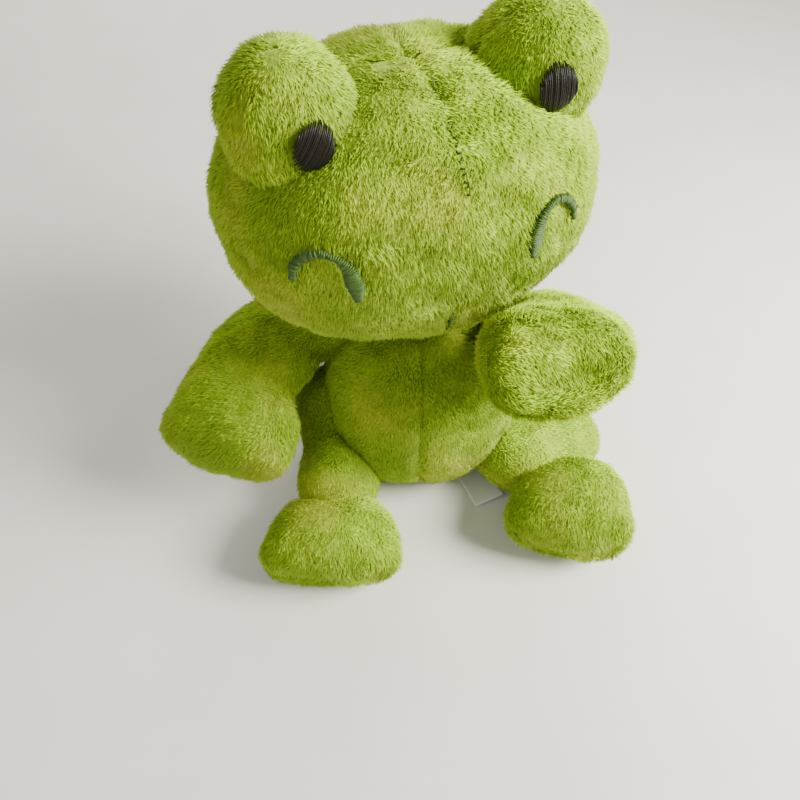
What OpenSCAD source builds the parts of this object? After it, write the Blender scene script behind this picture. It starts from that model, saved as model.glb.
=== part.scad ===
// Seated stuffed frog, sewn from short-pile plush. Millimetres, +Z up.
// The frog faces -Y and the origin is the middle of its flat seat.
// "left" and "right" are the frog's own: its left side is +X.

/* [Fabric] */
// Thickness of the plush fabric with its pile
fabric_t = 2; // [1.4:0.1:2.6]
// Room between sewn parts that turn against each other
turn_gap = 0.4; // [0.3:0.05:0.6]
// Height that embroidery and thread stand above the fabric
thread_rise = 0.6; // [0.4:0.1:1]
// Gap left between an eye mound and the head that it is sewn against
mound_gap = 0.2; // [0.15:0.05:0.3]
// Thickness of the gathered seam bands at neck, shoulders and hips
band_t = 1.6; // [1.2:0.1:2.2]

/* [Torso] */
// Widest width of the body
torso_w = 68; // [52:1:70]
// Widest depth of the body
torso_d = 63; // [54:1:70]
// Length of the body along its own leaning axis
torso_h = 68; // [60:1:76]
// How far the body leans back
torso_lean = 15; // [8:1:20]
// Share of the lower half that is kept above the seat
seat_cut = 0.8; // [0.74:0.01:0.86]
// Width of the pellet pouch in the seat
pouch_w = 34; // [26:1:38]
// Depth of the pellet pouch
pouch_d = 32; // [26:1:38]
// Height of the pellet pouch
pouch_h = 20; // [16:1:24]
// Depth by which the pouch's weight flattens it on the seat
pouch_sag = 3; // [2:0.5:4]
// Length of the hand-closed opening in the back seam
closing_len = 26; // [18:1:32]

/* [Neck] */
// Radius of the neck stuffing that the head turns on
neck_r = 9; // [7.5:0.5:10.5]
// Distance that the neck stands left of the middle of the seat
neck_x = -2; // [-4:0.5:2]
// Distance from the seat's middle back to the neck
neck_y = 15; // [12:0.5:18]
// Height of the neck's middle above the seat
neck_z = 58; // [54:0.5:62]
// Angle below level that the shoulders keep, so that the head can tip
neck_slope = 19; // [16:1:24]

/* [Head] */
// Width of the head across the cheeks
head_w = 108; // [92:1:116]
// Depth of the head from face to back
head_d = 84; // [74:1:92]
// Height of the head without the eye mounds
head_h = 77; // [68:1:86]
// How far the face is turned towards the frog's left
head_yaw = 21; // [0:1:25]
// Distance that the head's middle stands behind the neck
head_back = 5; // [2:0.5:7]
// Distance that the head's middle stands to the right of the neck
head_side = 3.4; // [0:0.2:5]
// Length of the dart down the forehead
forehead_dart = 34; // [22:1:38]
// Length of the dart up the chin
chin_dart = 18; // [10:1:22]

/* [Eye mounds] */
// Width of one eye mound
mound_w = 31; // [27:1:35]
// Depth of one eye mound
mound_d = 32; // [28:1:36]
// Height of one eye mound
mound_h = 33; // [29:1:38]
// Distance between the middles of the two mounds
mound_spread = 62; // [58:1:70]
// Height of a mound's middle above the head's middle
mound_up = 30; // [29:0.5:34]
// Distance that a mound's middle stands in front of the head's middle
mound_front = 6; // [2:0.5:8]
// Width of one embroidered pupil
pupil_w = 9; // [7:0.5:11]
// Height of one embroidered pupil
pupil_h = 10; // [8:0.5:11]
// Distance that a pupil sits in from its mound's middle
pupil_in = 3; // [1:0.5:4]
// Distance that a pupil sits above its mound's middle
pupil_up = 2.5; // [2:0.5:4]

/* [Cheek marks] */
// Radius of the embroidered arch on each cheek
mark_r = 5.5; // [4.6:0.2:6.6]
// Width of the arch's stitching
mark_t = 2.2; // [1.6:0.1:2.8]
// Width of the thick drop at the arch's inner end
drop_w = 4; // [3:0.2:5]
// Length of the thick drop
drop_len = 10; // [7:0.5:12]
// Distance between the middles of the two arches
mark_spread = 57.5; // [55:0.5:70]
// Distance that both arches are sewn off the middle, towards the frog's right
mark_shift = 4.2; // [0:0.2:5]
// Height of the arches above the head's middle
mark_up = 6.5; // [2:0.5:12]

/* [Arms] */
// Distance from the shoulder to the middle of the paw
arm_len = 50; // [44:1:54]
// Width of the sleeve
sleeve_w = 36; // [30:1:38]
// Thickness of the sleeve
sleeve_t = 25; // [20:1:28]
// Distance that the sleeve's middle bulges out from the shoulder line
sleeve_out = 9; // [4:0.5:10]
// Width of the flared paw
paw_w = 43; // [38:1:50]
// Length of the paw
paw_len = 32; // [26:1:36]
// Thickness of the paw
paw_t = 30; // [25:1:34]
// Radius of the stuffing ball inside a shoulder seam
shoulder_r = 6; // [5:0.5:7]
// Distance from the body's middle out to a shoulder
shoulder_x = 27; // [25:0.5:29]
// Distance from the seat's middle back to the shoulders
shoulder_y = 13; // [9:0.5:16]
// Height of the shoulders
shoulder_z = 50; // [46:0.5:52]
// Right arm: tip down, roll, and swing towards the frog's left
right_arm_turn = [13, 0, -44]; // [-60:1:60]
// Left arm: tip down, roll, and swing towards the frog's left
left_arm_turn = [-33, 0, 12]; // [-60:1:60]
// Turn of the right paw against its sleeve
right_paw_turn = 34; // [20:1:40]
// Turn of the left paw against its sleeve
left_paw_turn = 6; // [-20:1:10]

/* [Legs] */
// Distance from the hip to the ankle
thigh_len = 23; // [21:1:28]
// Width and height of the thigh
thigh_w = 29; // [25:1:31]
// Radius of the stuffing ball inside a hip seam
hip_r = 6.5; // [5.5:0.5:7.5]
// Distance from the body's middle out to a hip
hip_x = 25; // [23:0.5:27]
// Distance from the seat's middle forward to the hips
hip_y = 12; // [10:0.5:14]
// Radius of the ball that the foot turns on
ankle_r = 11; // [9:0.5:12]
// Width of the flared foot
foot_w = 47; // [40:1:50]
// Length of the foot
foot_len = 34; // [28:1:36]
// Height of the foot
foot_h = 27; // [24:1:29]
// Distance from the ankle to the middle of the foot
foot_reach = 15; // [13:0.5:18]
// Right leg swing towards the frog's left
right_leg_yaw = -9; // [-25:1:0]
// Left leg swing towards the frog's left
left_leg_yaw = 64; // [50:1:68]
// Turn of the left foot back towards the front, against its thigh
left_foot_turn = -50; // [-56:1:-20]
// Turn of the right foot against its thigh
right_foot_turn = 0; // [-10:1:10]

/* [Care label] */
// Width of the folded label
label_w = 11; // [9:0.5:12]
// Length of the folded label that shows
label_len = 18; // [14:0.5:19]
// Thickness of each of its two leaves
label_t = 0.5; // [0.4:0.1:0.7]

/* [Hidden] */

RIGHT = -1;
LEFT = 1;
BIG = 200;
SMOOTH = 48;
BALL_SMOOTH = 40;

plush = [0.55, 0.68, 0.22];
plush_dark = [0.44, 0.56, 0.17];
plush_light = [0.66, 0.76, 0.33];
pupil_brown = [0.10, 0.08, 0.05];
thread_green = [0.22, 0.27, 0.12];
filling_white = [0.93, 0.92, 0.88];
pouch_grey = [0.75, 0.74, 0.70];
label_white = [0.95, 0.94, 0.95];

torso_mid_z = seat_cut * torso_h / 2;
// The seat's section of a leaning body lies forward of its middle, so the body stands back by that much.
torso_mid_y = (pow(torso_h / 2, 2) - pow(torso_d / 2, 2)) * sin(torso_lean) * cos(torso_lean)
  * torso_mid_z / (pow(torso_h / 2 * cos(torso_lean), 2) + pow(torso_d / 2 * sin(torso_lean), 2));
neck = [neck_x, neck_y, neck_z];
neck_band_r = neck_r + turn_gap + band_t;
neck_room_r = neck_band_r + turn_gap;
head_mid = neck + [-head_side, head_back, head_h / 2];
chin_low = -0.7 * head_h / 2;
hip_z = thigh_w / 2;
ankle_z = hip_z;
limb_room = 3;
ankle_back = 1;
stem_share = 0.6;

// Ellipsoid with the given half-sizes.
module egg(half) {
  scale(half) sphere(r = 1, $fn = SMOOTH);
}

module ball(r) {
  sphere(r = r, $fn = BALL_SMOOTH);
}

// Everything above the level z.
module above(z) {
  translate([-BIG / 2, -BIG / 2, z]) cube(BIG);
}

// Everything on one side of the plane x = 0.
module half_x(side) {
  translate([side > 0 ? 0 : -BIG, -BIG / 2, -BIG / 2]) cube(BIG);
}

// Everything in front of the plane y, which is towards -Y.
module front_of(y) {
  translate([-BIG / 2, y - BIG, -BIG / 2]) cube(BIG);
}

module behind(y) {
  translate([-BIG / 2, y, -BIG / 2]) cube(BIG);
}

// Band of a hollow ball round local Y: the gathered seam that a limb or the head turns in.
// It reaches from y = front to y = rear.
module seam_band(r, front, rear) {
  rotate([-90, 0, 0]) rotate_extrude($fn = SMOOTH) intersection() {
    difference() {
      circle(r = r + turn_gap + band_t, $fn = SMOOTH);
      circle(r = r + turn_gap, $fn = SMOOTH);
    }
    translate([0, front]) square([BIG, rear - front]);
  }
}

// ---- Places ----

module at_torso() {
  translate([0, torso_mid_y, torso_mid_z]) rotate([-torso_lean, 0, 0]) children();
}

module at_head() {
  translate(head_mid) rotate([0, 0, head_yaw]) children();
}

// The head's left half as drawn, or its mirror image for the right.
module at_head_side(side) {
  at_head() mirror([side > 0 ? 0 : 1, 0, 0]) children();
}

module at_shoulder(side) {
  turn = side > 0 ? left_arm_turn : right_arm_turn;
  translate([side * shoulder_x, shoulder_y, shoulder_z])
    rotate([turn[0], 0, turn[2]]) rotate([0, turn[1], 0]) children();
}

module at_paw(side) {
  at_shoulder(side) translate([0, -arm_len, 0])
    rotate([0, 0, side > 0 ? left_paw_turn : right_paw_turn]) children();
}

module at_hip(side) {
  translate([side * hip_x, -hip_y, hip_z])
    rotate([0, 0, side > 0 ? left_leg_yaw : right_leg_yaw]) children();
}

module at_ankle(side) {
  at_hip(side) translate([0, -thigh_len, 0]) children();
}

module at_foot(side) {
  at_ankle(side) rotate([0, 0, side > 0 ? left_foot_turn : right_foot_turn]) children();
}

// ---- Torso ----

// The body's outer form, drawn in by inset, or swelled where inset is negative.
module torso_form(inset = 0) {
  intersection() {
    at_torso() egg([torso_w / 2 - inset, torso_d / 2 - inset, torso_h / 2 - inset]);
    above(max(inset, 0));
  }
}

// Space round the body that the limbs keep out of.
module torso_keep_out() {
  at_torso() egg([torso_w / 2 + limb_room, torso_d / 2 + limb_room, torso_h / 2 + limb_room]);
}

// Room over the shoulders in which the head tips, and round the neck.
module neck_room() {
  translate(neck) {
    ball(neck_room_r);
    rotate_extrude($fn = SMOOTH)
      polygon([[0, 0], [BIG / 4, -BIG / 4 * tan(neck_slope)], [BIG / 4, BIG / 4], [0, BIG / 4]]);
  }
}

module shoulder_room(side) {
  at_shoulder(side) ball(shoulder_r + 2 * turn_gap + band_t);
}

module hip_room(side) {
  at_hip(side) ball(hip_r + 2 * turn_gap + band_t);
}

// Room for the stem of stuffing to swing where it leaves the body.
module hip_stem_room(side) {
  at_hip(side) rotate([90, 0, 0])
    cylinder(r = hip_r * stem_share + limb_room / 2, h = 3 * hip_r, $fn = BALL_SMOOTH);
}

module torso_rooms() {
  neck_room();
  for (side = [RIGHT, LEFT]) {
    shoulder_room(side);
    hip_room(side);
    hip_stem_room(side);
  }
}

module torso_skin() {
  difference() {
    torso_form(0);
    at_torso() egg([torso_w / 2 - fabric_t, torso_d / 2 - fabric_t, torso_h / 2 - fabric_t]);
    torso_rooms();
  }
}

module seat_panel() {
  color(plush_dark) difference() {
    intersection() {
      torso_form(0);
      translate([-BIG / 2, -BIG / 2, 0]) cube([BIG, BIG, fabric_t]);
    }
    for (side = [RIGHT, LEFT]) hip_room(side);
  }
}

module belly(side) {
  color(plush) intersection() {
    torso_skin();
    above(fabric_t);
    half_x(side);
    front_of(torso_mid_y);
  }
}

module back(side) {
  color(plush_dark) intersection() {
    torso_skin();
    above(fabric_t);
    half_x(side);
    behind(torso_mid_y);
  }
}

module pouch_form(inset = 0) {
  intersection() {
    translate([0, 0, fabric_t + pouch_h / 2 - pouch_sag])
      egg([pouch_w / 2 - inset, pouch_d / 2 - inset, pouch_h / 2 - inset]);
    above(fabric_t + inset);
  }
}

module torso_stuffing() {
  color(filling_white) difference() {
    torso_form(fabric_t);
    torso_rooms();
    pouch_form();
  }
}

module pellet_pouch() {
  color(pouch_grey) difference() {
    pouch_form();
    pouch_form(fabric_t / 2);
  }
}

module pellet_fill() {
  color(filling_white) pouch_form(fabric_t / 2);
}

// Ladder stitches across the back seam, each a short raised bar of thread.
module closing_stitches() {
  pitch = 3;
  bar = [6, BIG / 2, 1];
  color(thread_green) intersection() {
    difference() {
      torso_form(-thread_rise);
      torso_form(0);
    }
    for (i = [0 : floor(closing_len / pitch) - 1])
      translate([-bar[0] / 2, torso_mid_y, torso_mid_z - closing_len / 2 + i * pitch]) cube(bar);
  }
}

// ---- Neck ----

module neck_stuffing() {
  color(filling_white) translate(neck) ball(neck_r);
}

module neck_band() {
  half = 4;
  color(plush) translate(neck) rotate([90, 0, 0]) seam_band(neck_r, -half, half);
}

// ---- Head ----

module skull(inset = 0) {
  at_head() egg([head_w / 2 - inset, head_d / 2 - inset, head_h / 2 - inset]);
}

module skull_skin() {
  difference() {
    skull(0);
    skull(fabric_t);
    translate(neck) ball(neck_room_r);
  }
}

module face_panel() {
  color(plush) intersection() {
    skull_skin();
    at_head() front_of(0);
  }
}

module head_back(side) {
  color(plush_dark) difference() {
    at_head_side(side) intersection() {
      difference() {
        egg([head_w / 2, head_d / 2, head_h / 2]);
        egg([head_w / 2 - fabric_t, head_d / 2 - fabric_t, head_h / 2 - fabric_t]);
      }
      half_x(LEFT);
      behind(0);
    }
    translate(neck) ball(neck_room_r);
  }
}

module head_stuffing() {
  color(filling_white) difference() {
    skull(fabric_t);
    translate(neck) ball(neck_room_r);
  }
}

// Thread that shows along a dart, on the head's middle plane between two heights.
module dart_seam(low, high) {
  color(thread_green) intersection() {
    difference() {
      skull(-thread_rise);
      skull(0);
    }
    at_head() translate([-0.5, -head_d, low]) cube([1, head_d, high - low]);
  }
}

// The left mound, in the head's own place.
module mound_egg(inset = 0) {
  translate([mound_spread / 2, -mound_front, mound_up])
    egg([mound_w / 2 - inset, mound_d / 2 - inset, mound_h / 2 - inset]);
}

module mound_form(inset = 0) {
  difference() {
    mound_egg(inset);
    egg([head_w / 2 + mound_gap, head_d / 2 + mound_gap, head_h / 2 + mound_gap]);
  }
}

module eye_panel(side, front) {
  color(front ? plush_light : plush) at_head_side(side) intersection() {
    difference() {
      mound_form();
      mound_form(fabric_t);
    }
    if (front) front_of(-mound_front); else behind(-mound_front);
  }
}

module eye_stuffing(side) {
  color(filling_white) at_head_side(side) mound_form(fabric_t);
}

// Embroidered oval on the front of a mound.
module pupil(side) {
  color(pupil_brown) at_head_side(side) intersection() {
    difference() {
      mound_egg(-thread_rise);
      mound_egg();
    }
    translate([mound_spread / 2 - pupil_in, -mound_front, mound_up + pupil_up]) rotate([90, 0, 0])
      scale([pupil_w / 2, pupil_h / 2, 1]) cylinder(r = 1, h = BIG / 2, $fn = SMOOTH);
  }
}

// Arch with a thick drop at its inner end, seen from the front.
module cheek_arch(side) {
  rotate([90, 0, 0]) {
    intersection() {
      difference() {
        cylinder(r = mark_r + mark_t / 2, h = BIG / 2, $fn = SMOOTH);
        translate([0, 0, -1]) cylinder(r = mark_r - mark_t / 2, h = BIG, $fn = SMOOTH);
      }
      translate([-BIG / 2, 0, -1]) cube(BIG);
    }
    translate([-side * mark_r, -drop_len / 4, 0]) scale([drop_w / 2, drop_len / 2, 1])
      cylinder(r = 1, h = BIG / 2, $fn = SMOOTH);
  }
}

module cheek_mark(side) {
  color(thread_green) intersection() {
    difference() {
      skull(-thread_rise);
      skull(0);
    }
    at_head() translate([side * mark_spread / 2 - mark_shift, 0, mark_up]) cheek_arch(side);
  }
}

// ---- Arms ----

module arm_form(side, inset = 0) {
  difference() {
    union() {
      at_shoulder(side) translate([side * sleeve_out, -arm_len / 2, 0])
        egg([sleeve_w / 2 - inset, arm_len / 2 + sleeve_t / 3 - inset, sleeve_t / 2 - inset]);
      at_paw(side) egg([paw_w / 2 - inset, paw_len / 2 - inset, paw_t / 2 - inset]);
    }
    shoulder_room(side);
    torso_keep_out();
  }
}

// Space above (part = 1) or below (part = -1) an arm's side seams.
module arm_half(side, part) {
  at_shoulder(side) translate([-BIG / 2, -BIG / 2, part > 0 ? 0 : -BIG]) cube(BIG);
}

// One of the two sewn halves of an arm: part = 1 is the top, part = -1 the underside.
module arm_panel(side, part) {
  color(part > 0 ? plush : plush_dark) intersection() {
    difference() {
      arm_form(side);
      arm_form(side, fabric_t);
      arm_stem(side);
    }
    arm_half(side, part);
  }
}

// Narrow stem of stuffing from the shoulder ball out into the sleeve.
module arm_stem(side) {
  at_shoulder(side) rotate([90, 0, 0])
    cylinder(r = shoulder_r * stem_share, h = 2 * shoulder_r, $fn = BALL_SMOOTH);
}

module arm_stuffing(side) {
  color(filling_white) union() {
    at_shoulder(side) ball(shoulder_r);
    arm_stem(side);
    for (part = [1, -1]) intersection() {
      arm_form(side, fabric_t);
      arm_half(side, part);
    }
  }
}

module shoulder_band(side) {
  color(plush) at_shoulder(side) seam_band(shoulder_r, -0.6, 3.4);
}

// ---- Legs ----

module thigh_form(side, inset = 0) {
  difference() {
    at_hip(side) translate([0, -thigh_len * 0.6, 0])
      egg([thigh_w / 2 - inset, thigh_len * 0.85 - inset, thigh_w / 2 - inset]);
    hip_room(side);
    torso_keep_out();
    at_ankle(side) ball(ankle_r + turn_gap);
    at_ankle(side) front_of(ankle_back);
  }
}

module thigh_half(side, part) {
  at_hip(side) translate([-BIG / 2, -BIG / 2, part > 0 ? 0 : -BIG]) cube(BIG);
}

module thigh_panel(side, part) {
  color(part > 0 ? plush : plush_dark) intersection() {
    difference() {
      thigh_form(side);
      thigh_form(side, fabric_t);
      thigh_stem(side);
    }
    thigh_half(side, part);
  }
}

module thigh_stem(side) {
  at_hip(side) rotate([90, 0, 0])
    cylinder(r = hip_r * stem_share, h = thigh_len - ankle_r - 2 * turn_gap, $fn = BALL_SMOOTH);
}

module thigh_stuffing(side) {
  color(filling_white) union() {
    at_hip(side) ball(hip_r);
    thigh_stem(side);
    for (part = [1, -1]) intersection() {
      thigh_form(side, fabric_t);
      thigh_half(side, part);
    }
  }
}

module hip_band(side) {
  color(plush) at_hip(side) seam_band(hip_r, -0.6, 3.6);
}

module foot_form(side, inset = 0) {
  difference() {
    at_foot(side) translate([0, -foot_reach, foot_h / 2 - ankle_z])
      egg([foot_w / 2 - inset, foot_len / 2 - inset, foot_h / 2 - inset]);
    at_ankle(side) translate([0, -ankle_back, 0]) rotate([-90, 0, 0])
      cylinder(r = thigh_w / 2 + limb_room, h = thigh_len, $fn = SMOOTH);
  }
}

module foot_panel(side, part) {
  color(part > 0 ? plush_light : plush_dark) intersection() {
    difference() {
      foot_form(side);
      foot_form(side, fabric_t);
      at_ankle(side) ball(ankle_r);
    }
    at_foot(side) translate([-BIG / 2, -BIG / 2, foot_h / 2 - ankle_z - (part > 0 ? 0 : BIG)])
      cube(BIG);
  }
}

module foot_stuffing(side) {
  color(filling_white) union() {
    at_ankle(side) ball(ankle_r);
    foot_form(side, fabric_t);
  }
}

// ---- Care label ----

// Folded strip, sewn under the body by its left side and lying forward.
module care_label() {
  root = [hip_x - 8, -hip_y - 4, turn_gap];
  color(label_white) translate(root) rotate([0, 0, 20])
    difference() {
      translate([-label_w / 2, -label_len, 0]) cube([label_w, label_len, 3 * label_t]);
      translate([-label_w, -label_len + 2 * label_t, label_t])
        cube([2 * label_w, label_len, label_t]);
    }
}

seat_panel();
belly(RIGHT);  // belly_right
belly(LEFT);  // belly_left
back(RIGHT);  // back_right
back(LEFT);  // back_left
torso_stuffing();
pellet_pouch();
pellet_fill();
closing_stitches();
neck_stuffing();
neck_band();
face_panel();
head_back(RIGHT);  // head_back_right
head_back(LEFT);  // head_back_left
head_stuffing();
dart_seam(head_h / 2 - forehead_dart / 2, head_h);  // forehead_dart_seam
dart_seam(chin_low, chin_low + chin_dart);  // chin_dart_seam
eye_panel(RIGHT, true);  // right_eye_front
eye_panel(RIGHT, false);  // right_eye_back
eye_stuffing(RIGHT);  // right_eye_stuffing
eye_panel(LEFT, true);  // left_eye_front
eye_panel(LEFT, false);  // left_eye_back
eye_stuffing(LEFT);  // left_eye_stuffing
pupil(RIGHT);  // right_pupil
pupil(LEFT);  // left_pupil
cheek_mark(RIGHT);  // right_cheek_mark
cheek_mark(LEFT);  // left_cheek_mark
arm_panel(RIGHT, 1);  // right_arm_top
arm_panel(RIGHT, -1);  // right_arm_underside
arm_stuffing(RIGHT);  // right_arm_stuffing
shoulder_band(RIGHT);  // right_shoulder_band
arm_panel(LEFT, 1);  // left_arm_top
arm_panel(LEFT, -1);  // left_arm_underside
arm_stuffing(LEFT);  // left_arm_stuffing
shoulder_band(LEFT);  // left_shoulder_band
thigh_panel(RIGHT, 1);  // right_thigh_top
thigh_panel(RIGHT, -1);  // right_thigh_underside
thigh_stuffing(RIGHT);  // right_thigh_stuffing
hip_band(RIGHT);  // right_hip_band
foot_panel(RIGHT, 1);  // right_foot_top
foot_panel(RIGHT, -1);  // right_foot_sole
foot_stuffing(RIGHT);  // right_foot_stuffing
thigh_panel(LEFT, 1);  // left_thigh_top
thigh_panel(LEFT, -1);  // left_thigh_underside
thigh_stuffing(LEFT);  // left_thigh_stuffing
hip_band(LEFT);  // left_hip_band
foot_panel(LEFT, 1);  // left_foot_top
foot_panel(LEFT, -1);  // left_foot_sole
foot_stuffing(LEFT);  // left_foot_stuffing
care_label();
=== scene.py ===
"""Looks of a seated stuffed frog, sewn from short-pile plush.

The frog faces -Y, its seat rests on the plane z = 0, and every length is in metres.
"left" and "right" are the frog's own, so its left side is +X.
"""

import logging
import math
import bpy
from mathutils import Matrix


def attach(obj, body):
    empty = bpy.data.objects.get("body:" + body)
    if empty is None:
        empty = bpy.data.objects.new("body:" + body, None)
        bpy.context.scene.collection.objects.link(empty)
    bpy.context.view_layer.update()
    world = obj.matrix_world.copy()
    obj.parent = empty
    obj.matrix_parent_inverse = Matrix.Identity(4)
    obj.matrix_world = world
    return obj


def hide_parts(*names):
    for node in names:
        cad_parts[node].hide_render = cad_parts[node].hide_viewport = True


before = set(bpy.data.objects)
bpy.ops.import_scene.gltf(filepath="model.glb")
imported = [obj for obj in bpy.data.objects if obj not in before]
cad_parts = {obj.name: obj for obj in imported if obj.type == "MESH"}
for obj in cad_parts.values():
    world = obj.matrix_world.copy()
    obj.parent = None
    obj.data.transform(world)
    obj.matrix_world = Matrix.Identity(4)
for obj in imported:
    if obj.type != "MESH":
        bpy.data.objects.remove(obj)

import zlib
from dataclasses import dataclass, field
from enum import Enum
from typing import Sequence

import bpy
import numpy as np
from mathutils import Matrix

LOG = logging.getLogger("frog")
FLOOR_GAP = 0.0002
FABRIC = 0.0011
PILE_ROOM = 0.0012

Pair = tuple[float, float]
Triple = tuple[float, float, float]
Window = tuple[float, float, float, float]
Colour = tuple[float, float, float, float]
Socket = bpy.types.NodeSocket

CLOTH_WINDOW: Window = (0.0, 0.0, 1.0, 0.28)
PILE_WINDOW: Window = (0.0, 0.3, 1.0, 1.0)
WHOLE_WINDOW: Window = (0.0, 0.0, 1.0, 1.0)
UP = np.array([0, 0, 1.0])


class Side(Enum):
    """The two sides of the frog, with the sign of x on each."""

    RIGHT = -1
    LEFT = 1

    @property
    def word(self) -> str:
        """The side's name as the pieces use it."""
        return self.name.lower()


class Slot(Enum):
    """The record's material slots."""

    PLUSH = "green_plush"
    FILLING = "stuffing"
    PUPIL = "pupil_embroidery"
    THREAD = "green_thread"
    POUCH = "pouch_cloth"
    PELLET = "pellets"
    SATIN = "label_satin"


# ---- Places and noise ----


def turn(axis: str, degrees: float) -> np.ndarray:
    """Rotation about one axis.

    Args:
        axis: "x", "y" or "z".
        degrees: Angle, counter-clockwise seen from the axis's tip.

    Returns:
        The 3 by 3 matrix.
    """
    c, s = math.cos(math.radians(degrees)), math.sin(math.radians(degrees))
    rows = {
        "x": [[1, 0, 0], [0, c, -s], [0, s, c]],
        "y": [[c, 0, s], [0, 1, 0], [-s, 0, c]],
        "z": [[c, -s, 0], [s, c, 0], [0, 0, 1]],
    }
    return np.array(rows[axis], float)


@dataclass(frozen=True)
class Place:
    """A rigid place in the frog's frame: an origin and the turn of its axes."""

    origin: np.ndarray
    axes: np.ndarray

    def out(self, points: np.ndarray) -> np.ndarray:
        """Takes local points to the frog's frame."""
        return points @ self.axes.T + self.origin

    def turned(self, vectors: np.ndarray) -> np.ndarray:
        """Takes local directions to the frog's frame."""
        return vectors @ self.axes.T

    def within(self, points: np.ndarray) -> np.ndarray:
        """Takes points of the frog's frame to local ones."""
        return (points - self.origin) @ self.axes

    def moved(self, offset: Sequence[float], axes: np.ndarray | None = None) -> "Place":
        """A place that stands at a local offset, with a further turn.

        Args:
            offset: Local offset of the new origin.
            axes: Further turn, or None for none.

        Returns:
            The new place.
        """
        more = np.eye(3) if axes is None else axes
        return Place(self.out(np.array(offset, float)), self.axes @ more)


def upright(point: Sequence[float]) -> Place:
    """A place at a point, with the axes of the frog's frame."""
    return Place(np.array(point), np.eye(3))


def seed_of(name: str) -> int:
    """A fixed seed for a name, the same in every run."""
    return zlib.crc32(name.encode())


def waves(points: np.ndarray, size: float, seed: int, count: int = 14) -> np.ndarray:
    """Smooth noise: the sum of sine waves in random directions, each about size long.

    Args:
        points: Points, with the coordinates last.
        size: Length of the waves.
        seed: Picks the directions and phases.
        count: How many waves are summed.

    Returns:
        Values of about -1 to 1, with one for each point.
    """
    rng = np.random.default_rng(seed)
    ways = rng.normal(size=(count, 3))
    ways /= np.linalg.norm(ways, axis=1, keepdims=True)
    ways *= (2 * math.pi / size) * rng.uniform(0.6, 1.5, (count, 1))
    phases = rng.uniform(0, 2 * math.pi, count)
    return np.sin(points @ ways.T + phases).sum(axis=-1) / math.sqrt(count / 2) * 0.6


def unit(vectors: np.ndarray) -> np.ndarray:
    """Vectors of length one along the last axis."""
    return vectors / np.maximum(np.linalg.norm(vectors, axis=-1, keepdims=True), 1e-12)


def ease(x: np.ndarray) -> np.ndarray:
    """The smooth step 3x^2 - 2x^3 from 0 to 1, held flat outside."""
    x = np.clip(x, 0, 1)
    return x * x * (3 - 2 * x)


# ---- Stuffed forms ----


@dataclass(frozen=True)
class Egg:
    """One rounded lump of a stuffed form.

    Attributes:
        place: Where its middle is and how it is turned.
        half: Half its width, depth and height.
        plan: Exponent of its outline in local x and y; 2 is an ellipse and more is squarer.
        rise: Exponent with which that outline closes towards its top and bottom.
        flare: How much wider it grows towards its local -y end.
    """

    place: Place
    half: Triple
    plan: float = 2.0
    rise: float = 2.0
    flare: float = 0.0

    def depth(self, points: np.ndarray) -> np.ndarray:
        """Distance outside the lump along the ray from its middle, below zero inside.

        With q = ((|x/a|^p + |y/b|^p)^(r/p) + |z/c|^r)^(1/r), it is |point| (1 - 1/q), where a
        grows by the flare's share from the middle to the -y end.
        """
        local = self.place.within(points)
        scaled = np.abs(local) / np.array(self.half)
        if self.flare:
            wider = 1 - self.flare * np.clip(local[..., 1] / self.half[1], -1.2, 1.2)
            scaled[..., 0] = scaled[..., 0] / wider
        flat = (scaled[..., 0] ** self.plan + scaled[..., 1] ** self.plan) ** (1 / self.plan)
        q = (flat**self.rise + scaled[..., 2] ** self.rise) ** (1 / self.rise)
        size = np.linalg.norm(local, axis=-1)
        return size - size / np.maximum(q, 1e-6)


@dataclass(frozen=True)
class Seam:
    """A sewn line: where a form meets a plane, its skin is drawn in.

    Attributes:
        place: The plane is the place's local x = 0.
        depth: How far the stitches draw the skin in.
        width: Half-width of the groove.
        pucker: Height of the small folds beside it.
        span: Lowest and highest local z that it reaches, or None for all round.
        fade: Length over which its ends die away.
        front_only: True if it is only where the local y is below zero.
    """

    place: Place
    depth: float = 0.0012
    width: float = 0.0016
    pucker: float = 0.0004
    span: Pair | None = None
    fade: float = 0.005
    front_only: bool = False

    def drop(self, points: np.ndarray) -> np.ndarray:
        """How far the skin is drawn in at each point.

        The groove is a Gaussian of the distance from the plane, and the folds are short waves
        that die away over three of its widths.
        """
        local = self.place.within(points)
        off = np.abs(local[..., 0]) / self.width
        reach = np.ones(off.shape)
        if self.span:
            low, high = self.span
            height = local[..., 2]
            reach = ease((height - low) / self.fade) * ease((high - height) / self.fade)
        if self.front_only:
            reach = reach * (local[..., 1] < 0)
        folds = 0.5 + 0.5 * waves(points, 0.0055, 77)
        return reach * (self.depth * np.exp(-(off**2)) + self.pucker * folds * np.exp(-off / 2.5))


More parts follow.
